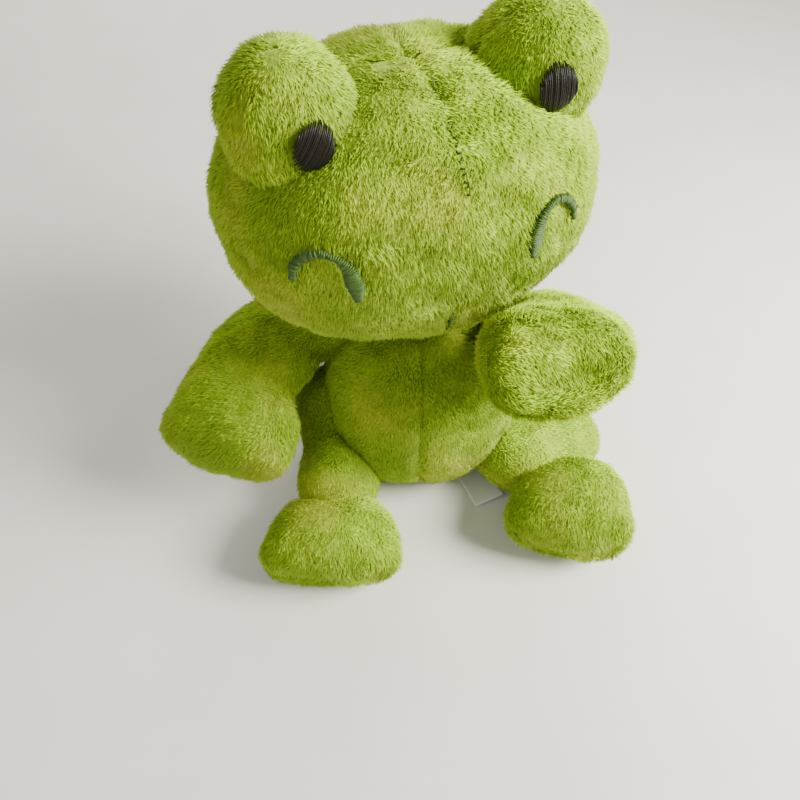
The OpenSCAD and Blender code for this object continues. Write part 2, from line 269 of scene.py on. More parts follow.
@dataclass
class Form:
    """A stuffed form: eggs that run smoothly into each other, with seams and lumps.

    Attributes:
        eggs: The lumps.
        start: One end of the line that rays leave from.
        end: Its other end.
        up: Direction of the rays at a quarter turn.
        soft: Radius with which the eggs run into each other.
        seams: Sewn lines in its skin.
        lump: Height of the uneven filling.
        seed: Picks the lumps.
    """

    eggs: list[Egg]
    start: np.ndarray
    end: np.ndarray
    up: np.ndarray
    soft: float = 0.003
    seams: list[Seam] = field(default_factory=list)
    lump: float = 0.0005
    seed: int = 1

    def depth(self, points: np.ndarray) -> np.ndarray:
        """Distance outside the form: the soft minimum -k ln(sum exp(-d/k)) over its eggs."""
        depths = np.stack([egg.depth(points) for egg in self.eggs])
        low = depths.min(axis=0)
        return low - self.soft * np.log(np.exp(-(depths - low) / self.soft).sum(axis=0))

    def cast(self, origins: np.ndarray, ways: np.ndarray, reach: float = 0.09) -> np.ndarray:
        """Where rays from inside the form leave it, found by halving 30 times.

        Args:
            origins: Points inside the form.
            ways: Directions of length one.
            reach: Length that is outside for sure.

        Returns:
            The points on the skin.
        """
        near, far = np.zeros(origins.shape[:-1]), np.full(origins.shape[:-1], reach)
        for _ in range(30):
            middle = (near + far) / 2
            inside = self.depth(origins + middle[..., None] * ways) < 0
            near, far = np.where(inside, middle, near), np.where(inside, far, middle)
        return origins + near[..., None] * ways

    def normals(self, points: np.ndarray) -> np.ndarray:
        """Outward directions, as the slope of depth over a tenth of a millimetre."""
        step = 0.0001
        slope = [
            self.depth(points + step * np.eye(3)[i]) - self.depth(points - step * np.eye(3)[i])
            for i in range(3)
        ]
        return unit(np.stack(slope, axis=-1))

    def grid(
        self,
        along: Pair,
        round_: Pair,
        rows: int,
        columns: int,
        inset: float = 0.0,
        bare: bool = False,
    ) -> tuple[np.ndarray, np.ndarray]:
        """The skin over a range of two parameters.

        A ray at (t, a) leaves the line from start to end. It points back along the line at
        t = 0, square off it at t = 1/2 and on along it at t = 1, and a is its turn round it.

        Args:
            along: First and last t.
            round_: First and last a, in degrees; 90 is up.
            rows: Count of values of t.
            columns: Count of values of a.
            inset: Distance that the whole skin is drawn in.
            bare: True to leave out seams.

        Returns:
            Points and outward directions, each rows by columns by 3.
        """
        t = np.linspace(*along, rows)[:, None, None]
        a = np.radians(np.linspace(*round_, columns))[None, :, None]
        axis = unit(self.end - self.start)
        side = np.cross(axis, self.up)
        lean = math.pi * (1 - t)
        ways = np.cos(lean) * axis + np.sin(lean) * (np.cos(a) * side + np.sin(a) * self.up)
        line = self.start + (self.end - self.start) * ease((t - 0.15) / 0.7)
        origins = np.broadcast_to(line, ways.shape)
        points = self.cast(origins, ways)
        normals = self.normals(points)
        height = self.lump * waves(points, 0.026, self.seed) - inset
        if not bare:
            for seam in self.seams:
                height = height - seam.drop(points)
        points = points + height[..., None] * normals
        points[..., 2] = np.maximum(points[..., 2], FLOOR_GAP + max(0.0, inset - PILE_ROOM))
        return points, normals


# ---- Meshes ----


@dataclass
class Body:
    """Arrays of a mesh in the making.

    Attributes:
        points: Vertices.
        faces: Triangles.
        tip: 0 at the foot of the pile and 1 at its tip, for each vertex.
        shade: Tint of the pile from 0 to 1, for each vertex.
        cells: Corners of each triangle on the colour map.
    """

    points: np.ndarray
    faces: np.ndarray
    tip: np.ndarray
    shade: np.ndarray
    cells: np.ndarray

    def plus(self, other: "Body") -> "Body":
        """This body and another as one."""
        return Body(
            np.vstack([self.points, other.points]),
            np.vstack([self.faces, other.faces + len(self.points)]),
            np.concatenate([self.tip, other.tip]),
            np.concatenate([self.shade, other.shade]),
            np.vstack([self.cells, other.cells]),
        )


def grid_faces(rows: int, columns: int) -> np.ndarray:
    """Two triangles for each cell of a grid whose vertices are numbered row by row."""
    a = (np.arange(rows - 1)[:, None] * columns + np.arange(columns - 1)[None, :]).ravel()
    b, c, d = a + 1, a + columns, a + columns + 1
    return np.vstack([np.stack([a, c, d], 1), np.stack([a, d, b], 1)])


def facing(points: np.ndarray, faces: np.ndarray, normals: np.ndarray) -> np.ndarray:
    """Triangles turned so that most of them look along the given directions."""
    corner = points[faces]
    cross = np.cross(corner[:, 1] - corner[:, 0], corner[:, 2] - corner[:, 0])
    return faces if (cross * normals[faces[:, 0]]).sum() > 0 else faces[:, ::-1]


def welded(body: Body, gap: float = 1e-6) -> Body:
    """The body with vertices nearer than gap made one, and its empty triangles dropped."""
    keys = np.round(body.points / gap).astype(np.int64)
    _, first, back = np.unique(keys, axis=0, return_index=True, return_inverse=True)
    faces = back.reshape(-1)[body.faces]
    kept = (
        (faces[:, 0] != faces[:, 1]) & (faces[:, 1] != faces[:, 2]) & (faces[:, 0] != faces[:, 2])
    )
    return Body(
        body.points[first], faces[kept], body.tip[first], body.shade[first], body.cells[kept]
    )


def chart(rows: int, columns: int, window: Window = WHOLE_WINDOW) -> np.ndarray:
    """Places on the colour map for the vertices of a grid, spread evenly over a window of it."""
    u, v = np.meshgrid(np.linspace(0, 1, columns), np.linspace(0, 1, rows))
    left, low, right, high = window
    return np.stack([left + (right - left) * u, low + (high - low) * v], -1).reshape(-1, 2)


def closed_body(points: np.ndarray, normals: np.ndarray, tip: float, shade: float) -> Body:
    """A closed surface of one grid, whose edges meet.

    Args:
        points: Its vertices, rows by columns by 3.
        normals: Outward directions.
        tip: The pile_tip value all over it.
        shade: The pile_shade value all over it.

    Returns:
        The closed body.
    """
    rows, columns = points.shape[:2]
    count = rows * columns
    flat = points.reshape(-1, 3)
    faces = facing(flat, grid_faces(rows, columns), normals.reshape(-1, 3))
    cells = chart(rows, columns)[faces]
    return welded(Body(flat, faces, np.full(count, tip), np.full(count, shade), cells))


def sheet_body(
    outer: np.ndarray,
    inner: np.ndarray,
    normals: np.ndarray,
    shade: np.ndarray,
    window: Window = CLOTH_WINDOW,
) -> Body:
    """A closed piece of cloth between two grids: both faces and the four edges.

    Args:
        outer: Points of the outer face, rows by columns by 3.
        inner: Points of the inner face.
        normals: Outward directions.
        shade: Tint for each point of the outer face.
        window: Left, low, right and high of its part of the colour map.

    Returns:
        The closed body, outward everywhere.
    """
    rows, columns = outer.shape[:2]
    count = rows * columns
    index = np.arange(count).reshape(rows, columns)
    flat = facing(outer.reshape(-1, 3), grid_faces(rows, columns), normals.reshape(-1, 3))
    rim = np.concatenate([index[0, :-1], index[:-1, -1], index[-1, :0:-1], index[:0:-1, 0]])
    after = np.roll(rim, -1)
    walls = np.vstack([
        np.stack([rim, after, after + count], 1),
        np.stack([rim, after + count, rim + count], 1),
    ])
    if ((flat == rim[0]) & (np.roll(flat, -1, 1) == after[0])).any():
        walls = walls[:, ::-1]
    points = np.vstack([outer.reshape(-1, 3), inner.reshape(-1, 3)])
    faces = np.vstack([flat, flat[:, ::-1] + count, walls])
    corners = chart(rows, columns, window)[faces % count]
    tint = shade.reshape(-1)
    # pile_tip is 0 all over the cloth, so on plush pieces it takes the dark foot colour: painted
    # shade under the pile.
    return welded(Body(points, faces, np.zeros(2 * count), np.concatenate([tint, tint]), corners))


def build_mesh(name: str, body: Body) -> bpy.types.Object:
    """Puts a body's arrays into a new object that stands at the origin.

    Args:
        name: The object's name.
        body: Its arrays.

    Returns:
        The object, with its pile_tip and pile_shade attributes and its colour map.
    """
    mesh = bpy.data.meshes.new(name)
    faces = np.ascontiguousarray(body.faces, np.int32)
    mesh.vertices.add(len(body.points))
    mesh.vertices.foreach_set("co", np.ascontiguousarray(body.points, np.float32).ravel())
    mesh.loops.add(faces.size)
    mesh.loops.foreach_set("vertex_index", faces.ravel())
    mesh.polygons.add(len(faces))
    mesh.polygons.foreach_set("loop_start", np.arange(0, faces.size, 3, dtype=np.int32))
    mesh.polygons.foreach_set("use_smooth", np.full(len(faces), True))
    mesh.update(calc_edges=True)
    for label, values in (("pile_tip", body.tip), ("pile_shade", body.shade)):
        layer = mesh.attributes.new(label, "FLOAT", "POINT")
        layer.data.foreach_set("value", np.ascontiguousarray(values, np.float32))
    colour_map = mesh.uv_layers.new(name="OFBake")
    colour_map.data.foreach_set("uv", np.ascontiguousarray(body.cells, np.float32).ravel())
    mesh.validate()
    piece = bpy.data.objects.new(name, mesh)
    bpy.context.scene.collection.objects.link(piece)
    return piece


# ---- Pile ----


@dataclass(frozen=True)
class Pile:
    """Short plush pile, as leaning tufts.

    Attributes:
        density: Tufts for each square metre of skin.
        length: Length of a tuft.
        width: Width of a tuft at its foot.
        lean: Degrees that it leans from upright.
        stray: Degrees that the lie wanders from place to place.
        root: How deep its foot stands in the cloth.
        buried: Depth inside a neighbour at which tufts are left out.
        pressed: Height under which a downward skin lies on the floor without pile.
    """

    density: float = 4.5e6
    length: float = 0.0021
    width: float = 0.00048
    lean: float = 57.0
    stray: float = 30.0
    root: float = 0.00035
    buried: float = 0.0012
    pressed: float = 0.0008

    def body(
        self,
        points: np.ndarray,
        normals: np.ndarray,
        lie: np.ndarray,
        seed: int,
        clear_of: Sequence["Form"] = (),
        trimmed: Sequence["Patch"] = (),
    ) -> Body:
        """Tufts over a grid of skin: each a closed spike with three sides.

        Feet are spread evenly by area. Each spike leans along the lie of the pile, which wanders
        in slow waves and from tuft to tuft, so that the pile parts and shows streaks.

        Args:
            points: The skin, rows by columns by 3.
            normals: Its outward directions.
            lie: Direction in which the pile lies, before it is laid flat on the skin.
            seed: Picks the tufts.
            clear_of: Forms that bury tufts, which are left out.
            trimmed: Embroidered patches, under which the pile is cut away.

        Returns:
            The tufts.
        """
        rng = np.random.default_rng(seed)
        corners = [points[:-1, :-1], points[1:, :-1], points[1:, 1:], points[:-1, 1:]]
        area = 0.5 * (
            np.linalg.norm(np.cross(corners[1] - corners[0], corners[2] - corners[0]), axis=-1)
            + np.linalg.norm(np.cross(corners[2] - corners[0], corners[3] - corners[0]), axis=-1)
        )
        share = np.cumsum(area.ravel())
        count = int(self.density * share[-1])
        marks = (np.arange(count) + rng.random(count)) / count * share[-1]
        cell = np.minimum(np.searchsorted(share, marks), area.size - 1)
        row, column = np.divmod(cell, area.shape[1])
        s, t = rng.random((2, count, 1))

        def between(grid: np.ndarray) -> np.ndarray:
            """Values of a grid at the feet, mixed from each cell's four corners."""
            return (
                grid[row, column] * (1 - s) * (1 - t)
                + grid[row + 1, column] * s * (1 - t)
                + grid[row + 1, column + 1] * s * t
                + grid[row, column + 1] * (1 - s) * t
            )

        foot, up, way = between(points), unit(between(normals)), between(lie)
        kept = (foot[:, 2] > self.pressed) | (up[:, 2] > -0.5)
        for form in clear_of:
            kept &= form.depth(foot) > -self.buried
        for patch in trimmed:
            kept &= ~patch.covers(foot)
        foot, up, way = foot[kept], up[kept], way[kept]
        count = len(foot)
        flow = unit(way - (way * up).sum(1, keepdims=True) * up)
        across = np.cross(up, flow)
        wander = self.stray * (
            0.75 * waves(foot, 0.011, seed + 1)
            + 0.55 * waves(foot, 0.0042, seed + 2)
            + 0.45 * rng.normal(size=count)
        )
        bend = np.radians(wander)[:, None]
        flow, across = (
            np.cos(bend) * flow + np.sin(bend) * across,
            np.cos(bend) * across - np.sin(bend) * flow,
        )
        tilt = self.lean + 13 * waves(foot, 0.006, seed + 3) + 7 * rng.normal(size=count)
        lean = np.radians(tilt)
        lean = np.clip(lean, 0.25, 1.35)[:, None]
        length = self.length * np.clip(1 + 0.2 * rng.normal(size=(count, 1)), 0.55, 1.5)
        half = 0.5 * self.width * np.clip(1 + 0.2 * rng.normal(size=(count, 1)), 0.6, 1.5)
        rise = np.cos(lean) * up + np.sin(lean) * flow
        back = np.cross(across, rise)
        low = foot - self.root * up
        spikes = np.stack([
            low + half * across + 0.3 * half * back,
            low - half * across + 0.3 * half * back,
            low - 0.8 * half * back,
            low + length * rise,
        ], axis=1)
        spikes[..., 2] = np.maximum(spikes[..., 2], FLOOR_GAP / 2)
        shade = 0.5 + 0.2 * waves(foot, 0.03, seed + 4) + 0.16 * waves(foot, 0.006, seed + 5)
        shade = np.clip(shade + 0.14 * rng.normal(size=count), 0, 1)
        base = 4 * np.arange(count)[:, None, None]
        pattern = np.array([[0, 1, 3], [1, 2, 3], [2, 0, 3], [0, 2, 1]])
        faces = (base + pattern[None]).reshape(-1, 3)
        sample = spikes[: min(count, 400)]
        outward = np.cross(sample[:, 1] - sample[:, 0], sample[:, 3] - sample[:, 0])
        middle = sample.mean(axis=1)
        if (outward * (sample[:, 0] - middle)).sum() < 0:
            faces = faces[:, ::-1]
        left, floor, right, ceiling = PILE_WINDOW
        columns = max(1, int(math.sqrt(count * (right - left) / (ceiling - floor))) + 1)
        lines = count // columns + 1
        order = np.arange(count)
        x, y = order % columns, order // columns
        wide, high = (right - left) / columns, (ceiling - floor) / lines
        shape = np.array([[0.12, 0.12], [0.88, 0.12], [0.5, 0.3], [0.5, 0.9]])
        place = np.stack([
            left + wide * (x[:, None] + shape[None, :, 0]),
            floor + high * (y[:, None] + shape[None, :, 1]),
        ], -1).reshape(-1, 2)
        # pile_tip 0 at each tuft's root and 1 at its tip: the plush paints roots dark as shade
        # within the pile and tips pale as rim light.
        tip = np.tile([0.0, 0.0, 0.0, 1.0], count)
        return Body(spikes.reshape(-1, 3), faces, tip, np.repeat(shade, 4), place[faces])


@dataclass(frozen=True)
class Patch:
    """A region of skin seen square from its front, such as the ground of an embroidery.

    Attributes:
        place: Local x and z lie across the region, and -y points out of the skin.
        centre: Middle, in local x and z.
        half: Half its width and height.
        margin: Further distance that the pile is cut back.
    """

    place: Place
    centre: Pair
    half: Pair
    margin: float = 0.0003

    def covers(self, points: np.ndarray) -> np.ndarray:
        """Which points lie inside the outline ((x/a)^2 + (z/b)^2)^(1/2) < 1."""
        local = self.place.within(points)
        x = (local[:, 0] - self.centre[0]) / (self.half[0] + self.margin)
        z = (local[:, 2] - self.centre[1]) / (self.half[1] + self.margin)
        return (np.sqrt(x * x + z * z) < 1) & (local[:, 1] < 0)


# ---- Thread and tubes ----


def tubes(
    paths: np.ndarray,
    ups: np.ndarray,
    radii: np.ndarray,
    seed: int,
    sides: int = 6,
) -> Body:
    """Closed tubes along many paths at once, such as the threads of satin stitching.

    Ring j of a tube is its path point plus radius (cos w across + sin w up), and its two ends
    are closed by fans.

    Args:
        paths: Points, tubes by steps by 3.
        ups: Directions square to the paths.
        radii: Radius at each point, tubes by steps.
        seed: Picks each tube's tint.
        sides: Corners of a ring.

    Returns:
        The tubes.
    """
    many, steps = paths.shape[:2]
    along = unit(np.gradient(paths, axis=1))
    across = unit(np.cross(along, ups))
    up = np.cross(across, along)
    w = np.arange(sides) * 2 * math.pi / sides
    ring = (
        np.cos(w)[None, None, :, None] * across[:, :, None]
        + np.sin(w)[None, None, :, None] * up[:, :, None]
    )
    points = paths[:, :, None] + radii[:, :, None, None] * ring
    index = np.arange(steps * sides).reshape(steps, sides)
    a, b = index[:-1], np.roll(index, -1, 1)[:-1]
    c, d = index[1:], np.roll(index, -1, 1)[1:]
    wall = np.vstack([np.stack(three, -1).reshape(-1, 3) for three in ((a, b, d), (a, d, c))])
    fan = np.stack([np.zeros(sides - 2, int), np.arange(1, sides - 1), np.arange(2, sides)], 1)
    one = np.vstack([wall, fan[:, ::-1], fan + (steps - 1) * sides])
    corner = points[0].reshape(-1, 3)[one]
    middle = points[0].reshape(-1, 3).mean(axis=0)
    cross = np.cross(corner[:, 1] - corner[:, 0], corner[:, 2] - corner[:, 0])
    if (cross * (corner.mean(axis=1) - middle)).sum() < 0:
        one = one[:, ::-1]
    faces = (one[None] + (np.arange(many) * steps * sides)[:, None, None]).reshape(-1, 3)
    shade = np.random.default_rng(seed).uniform(0.2, 0.8, many)
    columns = int(math.sqrt(many)) + 1
    x, y = np.arange(many) % columns, np.arange(many) // columns
    u = (x[:, None, None] + 0.1 + 0.8 * np.linspace(0, 1, steps)[None, :, None]) / columns
    v = (y[:, None, None] + 0.1 + 0.8 * np.abs(np.linspace(-1, 1, sides))[None, None, :]) / columns
    place = np.stack(np.broadcast_arrays(u, v), -1).reshape(-1, 2)
    total = many * steps * sides
    return Body(
        points.reshape(-1, 3), faces, np.ones(total), np.repeat(shade, steps * sides), place[faces]
    )


@dataclass(frozen=True)
class Satin:
    """Satin stitching on the front of a form, thread beside thread.

    Attributes:
        form: The form that it is sewn on.
        place: Local x and z lie across the stitching, and -y points out of the skin.
        pitch: Distance between threads.
        rise: Height of the stitching above the skin.
        ragged: How unevenly the threads end.
    """

    form: Form
    place: Place
    pitch: float = 0.00042
    rise: float = 0.0011
    ragged: float = 0.00025

    def threads(self, heads: np.ndarray, tails: np.ndarray, seed: int) -> Body:
        """Threads from each head to each tail, given in local x and z.

        Each thread follows the skin and stands above it by rise (1 - (2s - 1)^4), so its ends
        dive into the pile.
        """
        rng = np.random.default_rng(seed)
        way = unit(tails - heads)
        heads = heads - way * self.ragged * rng.uniform(-1, 1, (len(heads), 1))
        tails = tails + way * self.ragged * rng.uniform(-1, 1, (len(heads), 1))
        s = np.linspace(0, 1, 9)[None, :, None]
        flat = heads[:, None] * (1 - s) + tails[:, None] * s
        local = np.stack([flat[..., 0], np.zeros(flat.shape[:2]), flat[..., 1]], -1)
        origins = self.place.out(local)
        ways = np.broadcast_to(self.place.turned(np.array([0.0, -1.0, 0.0])), origins.shape)
        skin = self.form.cast(origins, ways, 0.07)
        normals = self.form.normals(skin)
        bow = 1 - (2 * s - 1) ** 4
        height = self.rise * bow - 0.0003 + 0.00008 * rng.normal(size=(len(heads), 1, 1))
        radii = (0.66 * self.pitch * (0.45 + 0.55 * bow[..., 0])) * np.ones((len(heads), 1))
        return tubes(skin + height * normals, normals, radii, seed)

    def oval(self, centre: Pair, half: Pair, tilt: float) -> Body:
        """A filled oval of threads side by side.

        Args:
            centre: Its middle, in local x and z.
            half: Half its width and height.
            tilt: Degrees that it leans, counter-clockwise from its front.

        Returns:
            The threads.
        """
        a, b = half
        x = np.arange(-a + self.pitch / 2, a, self.pitch)
        z = b * np.sqrt(np.clip(1 - (x / a) ** 2, 0.03, 1))
        spin = turn("z", tilt)[:2, :2]
        heads = np.stack([x, -z], 1) @ spin.T + np.array(centre)
        tails = np.stack([x, z], 1) @ spin.T + np.array(centre)
        return self.threads(heads, tails, 11)

    def band(self, line: np.ndarray, widths: np.ndarray) -> Body:
        """A curved band of threads that cross a line.

        Args:
            line: Corner points of the line, in local x and z; it runs smoothly through them.
            widths: Width of the band at each of them.

        Returns:
            The threads.
        """
        knots = np.concatenate([[0], np.cumsum(np.linalg.norm(np.diff(line, axis=0), axis=1))])
        fine = np.linspace(0, knots[-1], 400)
        path = np.stack([np.interp(fine, knots, line[:, i]) for i in range(2)], 1)
        kernel = np.hanning(45) / np.hanning(45).sum()
        padded = np.pad(path, ((22, 22), (0, 0)), "reflect", reflect_type="odd")
        path = np.stack([np.convolve(padded[:, i], kernel, "valid") for i in range(2)], 1)
        steps = np.arange(self.pitch / 2, knots[-1], self.pitch)
        centre = np.stack([np.interp(steps, fine, path[:, i]) for i in range(2)], 1)
        way = unit(np.gradient(centre, axis=0))
        across = np.stack([-way[:, 1], way[:, 0]], 1)
        half = np.interp(steps, knots, widths)[:, None] / 2
        return self.threads(centre - half * across, centre + half * across, 12)


# ---- Finishes ----


def grey(value: float) -> Colour:
    """An opaque grey of a value, 0 for black and 1 for white."""
    return (value, value, value, 1)


class Nodes:
    """A material's node tree, with a short way to add nodes and links."""

    def __init__(self, name: str, roughness: float) -> None:
        """Starts the tree with a Principled shader of the given roughness."""
        self.material = bpy.data.materials.new(name)
        self.material.use_nodes = True
        self.tree = self.material.node_tree
        self.shader = self.tree.nodes["Principled BSDF"]
        self.shader.inputs["Roughness"].default_value = roughness

    def add(self, kind: str, **values: object) -> bpy.types.Node:
        """Adds a node and sets its properties, or its inputs where it has no such property."""
        node = self.tree.nodes.new(kind)
        for key, value in values.items():
            if hasattr(node, key):
                setattr(node, key, value)
            else:
                node.inputs[key.replace("_", " ").title()].default_value = value
        return node

    def link(self, source: Socket, target: Socket) -> None:
        """Links an output to an input."""
        self.tree.links.new(source, target)

    def noise(self, scale: float, detail: float = 3.0, rough: float = 0.55) -> Socket:
        """Noise on Object coordinates, with scale counted in waves for each metre."""
        place = self.add("ShaderNodeTexCoord")
        node = self.add("ShaderNodeTexNoise", scale=scale, detail=detail, roughness=rough)
        self.link(place.outputs["Object"], node.inputs["Vector"])
        return node.outputs["Fac"]

    def value(self, name: str) -> Socket:
        """A number that the mesh carries at each vertex."""
        return self.add("ShaderNodeAttribute", attribute_name=name).outputs["Fac"]

    def ramp(self, source: Socket, stops: list[tuple[float, Colour]]) -> Socket:
        """Colours along a number.

        Args:
            source: The number.
            stops: Places from 0 to 1 and their colours.

        Returns:
            The colour output.
        """
        node = self.add("ShaderNodeValToRGB")
        elements = node.color_ramp.elements
        while len(elements) < len(stops):
            elements.new(0.5)
        for element, (place, colour) in zip(elements, stops):
            element.position, element.color = place, colour
        self.link(source, node.inputs["Fac"])
        return node.outputs["Color"]

    def mix(
        self,
        amount: Socket | float,
        first: Socket | Colour,
        second: Socket | Colour,
        way: str = "MIX",
    ) -> Socket:
        """Two colours mixed by an amount, in the given blend mode."""
        node = self.add("ShaderNodeMix", data_type="RGBA", blend_type=way)
        for key, item in ((0, amount), (6, first), (7, second)):
            if isinstance(item, Socket):
                self.link(item, node.inputs[key])
            else:
                node.inputs[key].default_value = item
        return node.outputs[2]

    def bump(self, height: Socket, strength: float, distance: float) -> None:
        """Raises the surface by a height, on the shader's normal."""
        node = self.add("ShaderNodeBump", strength=strength, distance=distance)
        self.link(height, node.inputs["Height"])
        self.link(node.outputs["Normal"], self.shader.inputs["Normal"])

    def paint(self, colour: Socket) -> None:
        """Puts a colour on the shader."""
        self.link(colour, self.shader.inputs["Base Color"])

    def sheen(self, weight: float, roughness: float, tint: Colour) -> None:
        """Sets the soft rim of light that cloth has, on the shader's own sockets."""
        self.shader.inputs["Sheen Weight"].default_value = weight
        self.shader.inputs["Sheen Roughness"].default_value = roughness
        self.shader.inputs["Sheen Tint"].default_value = tint


@dataclass(frozen=True)
class PlushFinish:
    """Lime-green short pile, with painted shade dark at its foot, painted rim light pale at its
    tips, and painted yellow sheen in patches.
    """

    # Painted shade and light: the foot colour is shade deep in the pile, the tip colour is rim
    # light on the tips, and the yellow colour below is a painted sheen.
    foot: Colour = (0.070, 0.115, 0.003, 1)
    body: Colour = (0.27, 0.46, 0.006, 1)
    tip: Colour = (0.57, 0.82, 0.024, 1)
    worn: Colour = (0.70, 0.62, 0.100, 1)
    deep: Colour = (0.18, 0.40, 0.004, 1)

    def build(self) -> bpy.types.Material:
        """The material: colour by tuft, with painted shade and rim light by height in the pile and
        painted sheen in slow patches.
        """
        n = Nodes("short_pile_plush", 0.86)
        # Painted shade at the foot of the pile and painted rim light at its tips, by pile_tip.
        rise = n.ramp(n.value("pile_tip"), [(0.0, self.foot), (0.45, self.body), (1.0, self.tip)])
        # Slow noise patches of painted yellow sheen, where the pile would catch the light another
        # way.
        patch = n.ramp(n.noise(42, 3), [(0.47, grey(0)), (0.66, grey(1))])
        worn = n.mix(0.42, rise, self.worn)
        colour = n.mix(patch, rise, worn)
        tuft = n.ramp(n.value("pile_shade"), [(0.15, self.deep), (0.85, self.tip)])
        colour = n.mix(0.33, colour, tuft)
        fine = n.ramp(n.noise(900, 2), [(0.3, grey(0.78)), (0.7, grey(1.08))])
        n.paint(n.mix(1.0, colour, fine, "MULTIPLY"))
        n.sheen(0.24, 0.45, (0.95, 0.95, 0.24, 1))
        n.shader.inputs["Specular IOR Level"].default_value = 0.22
        n.bump(n.noise(1500, 2), 0.35, 0.0003)
        return n.material


@dataclass(frozen=True)
class ThreadFinish:
    """Shiny embroidery thread, a little lighter along some threads."""

    name: str
    dark: Colour
    light: Colour
    shine: float = 0.5
    fuzz: float = 0.04

    def build(self) -> bpy.types.Material:
        """The material: each thread has its own tint, with a fine twist raised on it."""
        n = Nodes(self.name, 0.46)
        tint = n.ramp(n.value("pile_shade"), [(0.1, self.dark), (0.9, self.light)])
        twist = n.noise(2600, 2)
        lines = n.ramp(twist, [(0.35, grey(0.72)), (0.7, grey(1.15))])
        n.paint(n.mix(1.0, tint, lines, "MULTIPLY"))
        n.shader.inputs["Specular IOR Level"].default_value = self.shine
        n.sheen(self.fuzz, 0.4, grey(1))
        n.bump(twist, 0.5, 0.0002)
        return n.material


@dataclass(frozen=True)
class FibreFinish:
    """White polyester fibre filling, matted and soft."""

    low: Colour = (0.62, 0.61, 0.57, 1)
    high: Colour = (0.93, 0.92, 0.89, 1)

    def build(self) -> bpy.types.Material:
        """The material: matted strands in two sizes, as colour and as bump."""
        n = Nodes("fibre_filling", 0.95)
        strands = n.noise(420, 6, 0.7)
        n.paint(n.ramp(strands, [(0.32, self.low), (0.62, self.high)]))
        n.sheen(0.5, 0.5, grey(1))
        n.bump(strands, 0.9, 0.0009)
        return n.material


@dataclass(frozen=True)
class ClothFinish:
    """Plain-woven cloth, as two crossing sets of waves."""

    name: str
    shadow: Colour
    thread: Colour
    threads: float = 1500.0
    roughness: float = 0.8

    def build(self) -> bpy.types.Material:
        """The material: warp and weft bands that darken and lower the gaps between threads."""
        n = Nodes(self.name, self.roughness)
        place = n.add("ShaderNodeTexCoord").outputs["Object"]
        both = []
        for direction in ("X", "Y"):
            band = n.add(
                "ShaderNodeTexWave", bands_direction=direction, scale=self.threads / 6.28,
                distortion=0.6, detail=1.0,
            )
            n.link(place, band.inputs["Vector"])
            both.append(band.outputs["Color"])
        weave = n.mix(0.5, both[0], both[1])
        stain = n.ramp(n.noise(90, 3), [(0.3, (0.9, 0.9, 0.88, 1)), (0.7, (1, 1, 1, 1))])
        threads = n.ramp(weave, [(0.1, self.shadow), (0.7, self.thread)])
        n.paint(n.mix(1.0, threads, stain, "MULTIPLY"))
        n.sheen(0.2, 0.4, grey(1))
        n.bump(weave, 0.4, 0.0002)
        return n.material


@dataclass(frozen=True)
class PelletFinish:
    """Translucent plastic beads with a slight grain."""

    low: Colour = (0.66, 0.65, 0.60, 1)
    high: Colour = (0.86, 0.85, 0.80, 1)

    def build(self) -> bpy.types.Material:
        """The material: each bead has its own tint, over a fine grain."""
        n = Nodes("plastic_pellets", 0.42)
        tint = n.ramp(n.value("pile_shade"), [(0.1, self.low), (0.9, self.high)])
        grain = n.noise(1800, 3)
        n.paint(n.mix(0.25, tint, n.ramp(grain, [(0.3, self.low), (0.7, self.high)])))
        n.bump(grain, 0.25, 0.0001)
        return n.material


@dataclass(frozen=True)
class FloorFinish:
    """A plain pale floor with the faintest grain."""

    colour: Colour = (0.72, 0.70, 0.67, 1)

    def build(self) -> bpy.types.Material:
        """The material: one pale colour, barely mottled."""
        n = Nodes("pale_floor", 0.9)
        paler = tuple(min(1.0, c * 1.04) for c in self.colour[:3]) + (1,)
        n.paint(n.ramp(n.noise(30, 2), [(0.3, self.colour), (0.7, paler)]))
        return n.material


class Dresser:
    """Makes objects of bodies, dresses them and ties them to the frame."""

    def __init__(self) -> None:
        """Builds every finish once."""
        self.finishes: dict[Slot, bpy.types.Material] = {
            Slot.PLUSH: PlushFinish().build(),
            Slot.FILLING: FibreFinish().build(),
            Slot.PUPIL: ThreadFinish(
                "pupil_thread", (0.004, 0.003, 0.002, 1), (0.014, 0.010, 0.007, 1), 0.22, 0.01
            ).build(),
            Slot.THREAD: ThreadFinish(
                "green_thread", (0.030, 0.080, 0.008, 1), (0.065, 0.130, 0.020, 1), 0.3
            ).build(),
            Slot.POUCH: ClothFinish(
                "pouch_cotton", (0.40, 0.38, 0.33, 1), (0.78, 0.76, 0.70, 1), 2200
            ).build(),
            Slot.PELLET: PelletFinish().build(),
            Slot.SATIN: ClothFinish(
                "label_satin", (0.70, 0.68, 0.72, 1), (0.92, 0.90, 0.93, 1), 5200, 0.42
            ).build(),
        }

    def piece(
        self,
        name: str,
        body: Body,
        rides: str,
        slot: Slot,
        nodes: Sequence[str],
        fill: float | None = None,
    ) -> bpy.types.Object:
        """Makes one finished piece.

        Args:
            name: Its name.
            body: Its mesh arrays.
            rides: CAD body that it moves with.
            slot: Material slot of its finish.
            nodes: CAD nodes that it stands for.
            fill: How tightly it is stuffed, or None if it isn't a padded piece; not used.

        Returns:
            The object.
        """
        thing = build_mesh(name, body)
        thing.data.materials.append(self.finishes[slot])
        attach(thing, rides)
        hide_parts(*nodes)
        LOG.info("%s: %d triangles, rides on %s", name, len(body.faces), rides)
        return thing


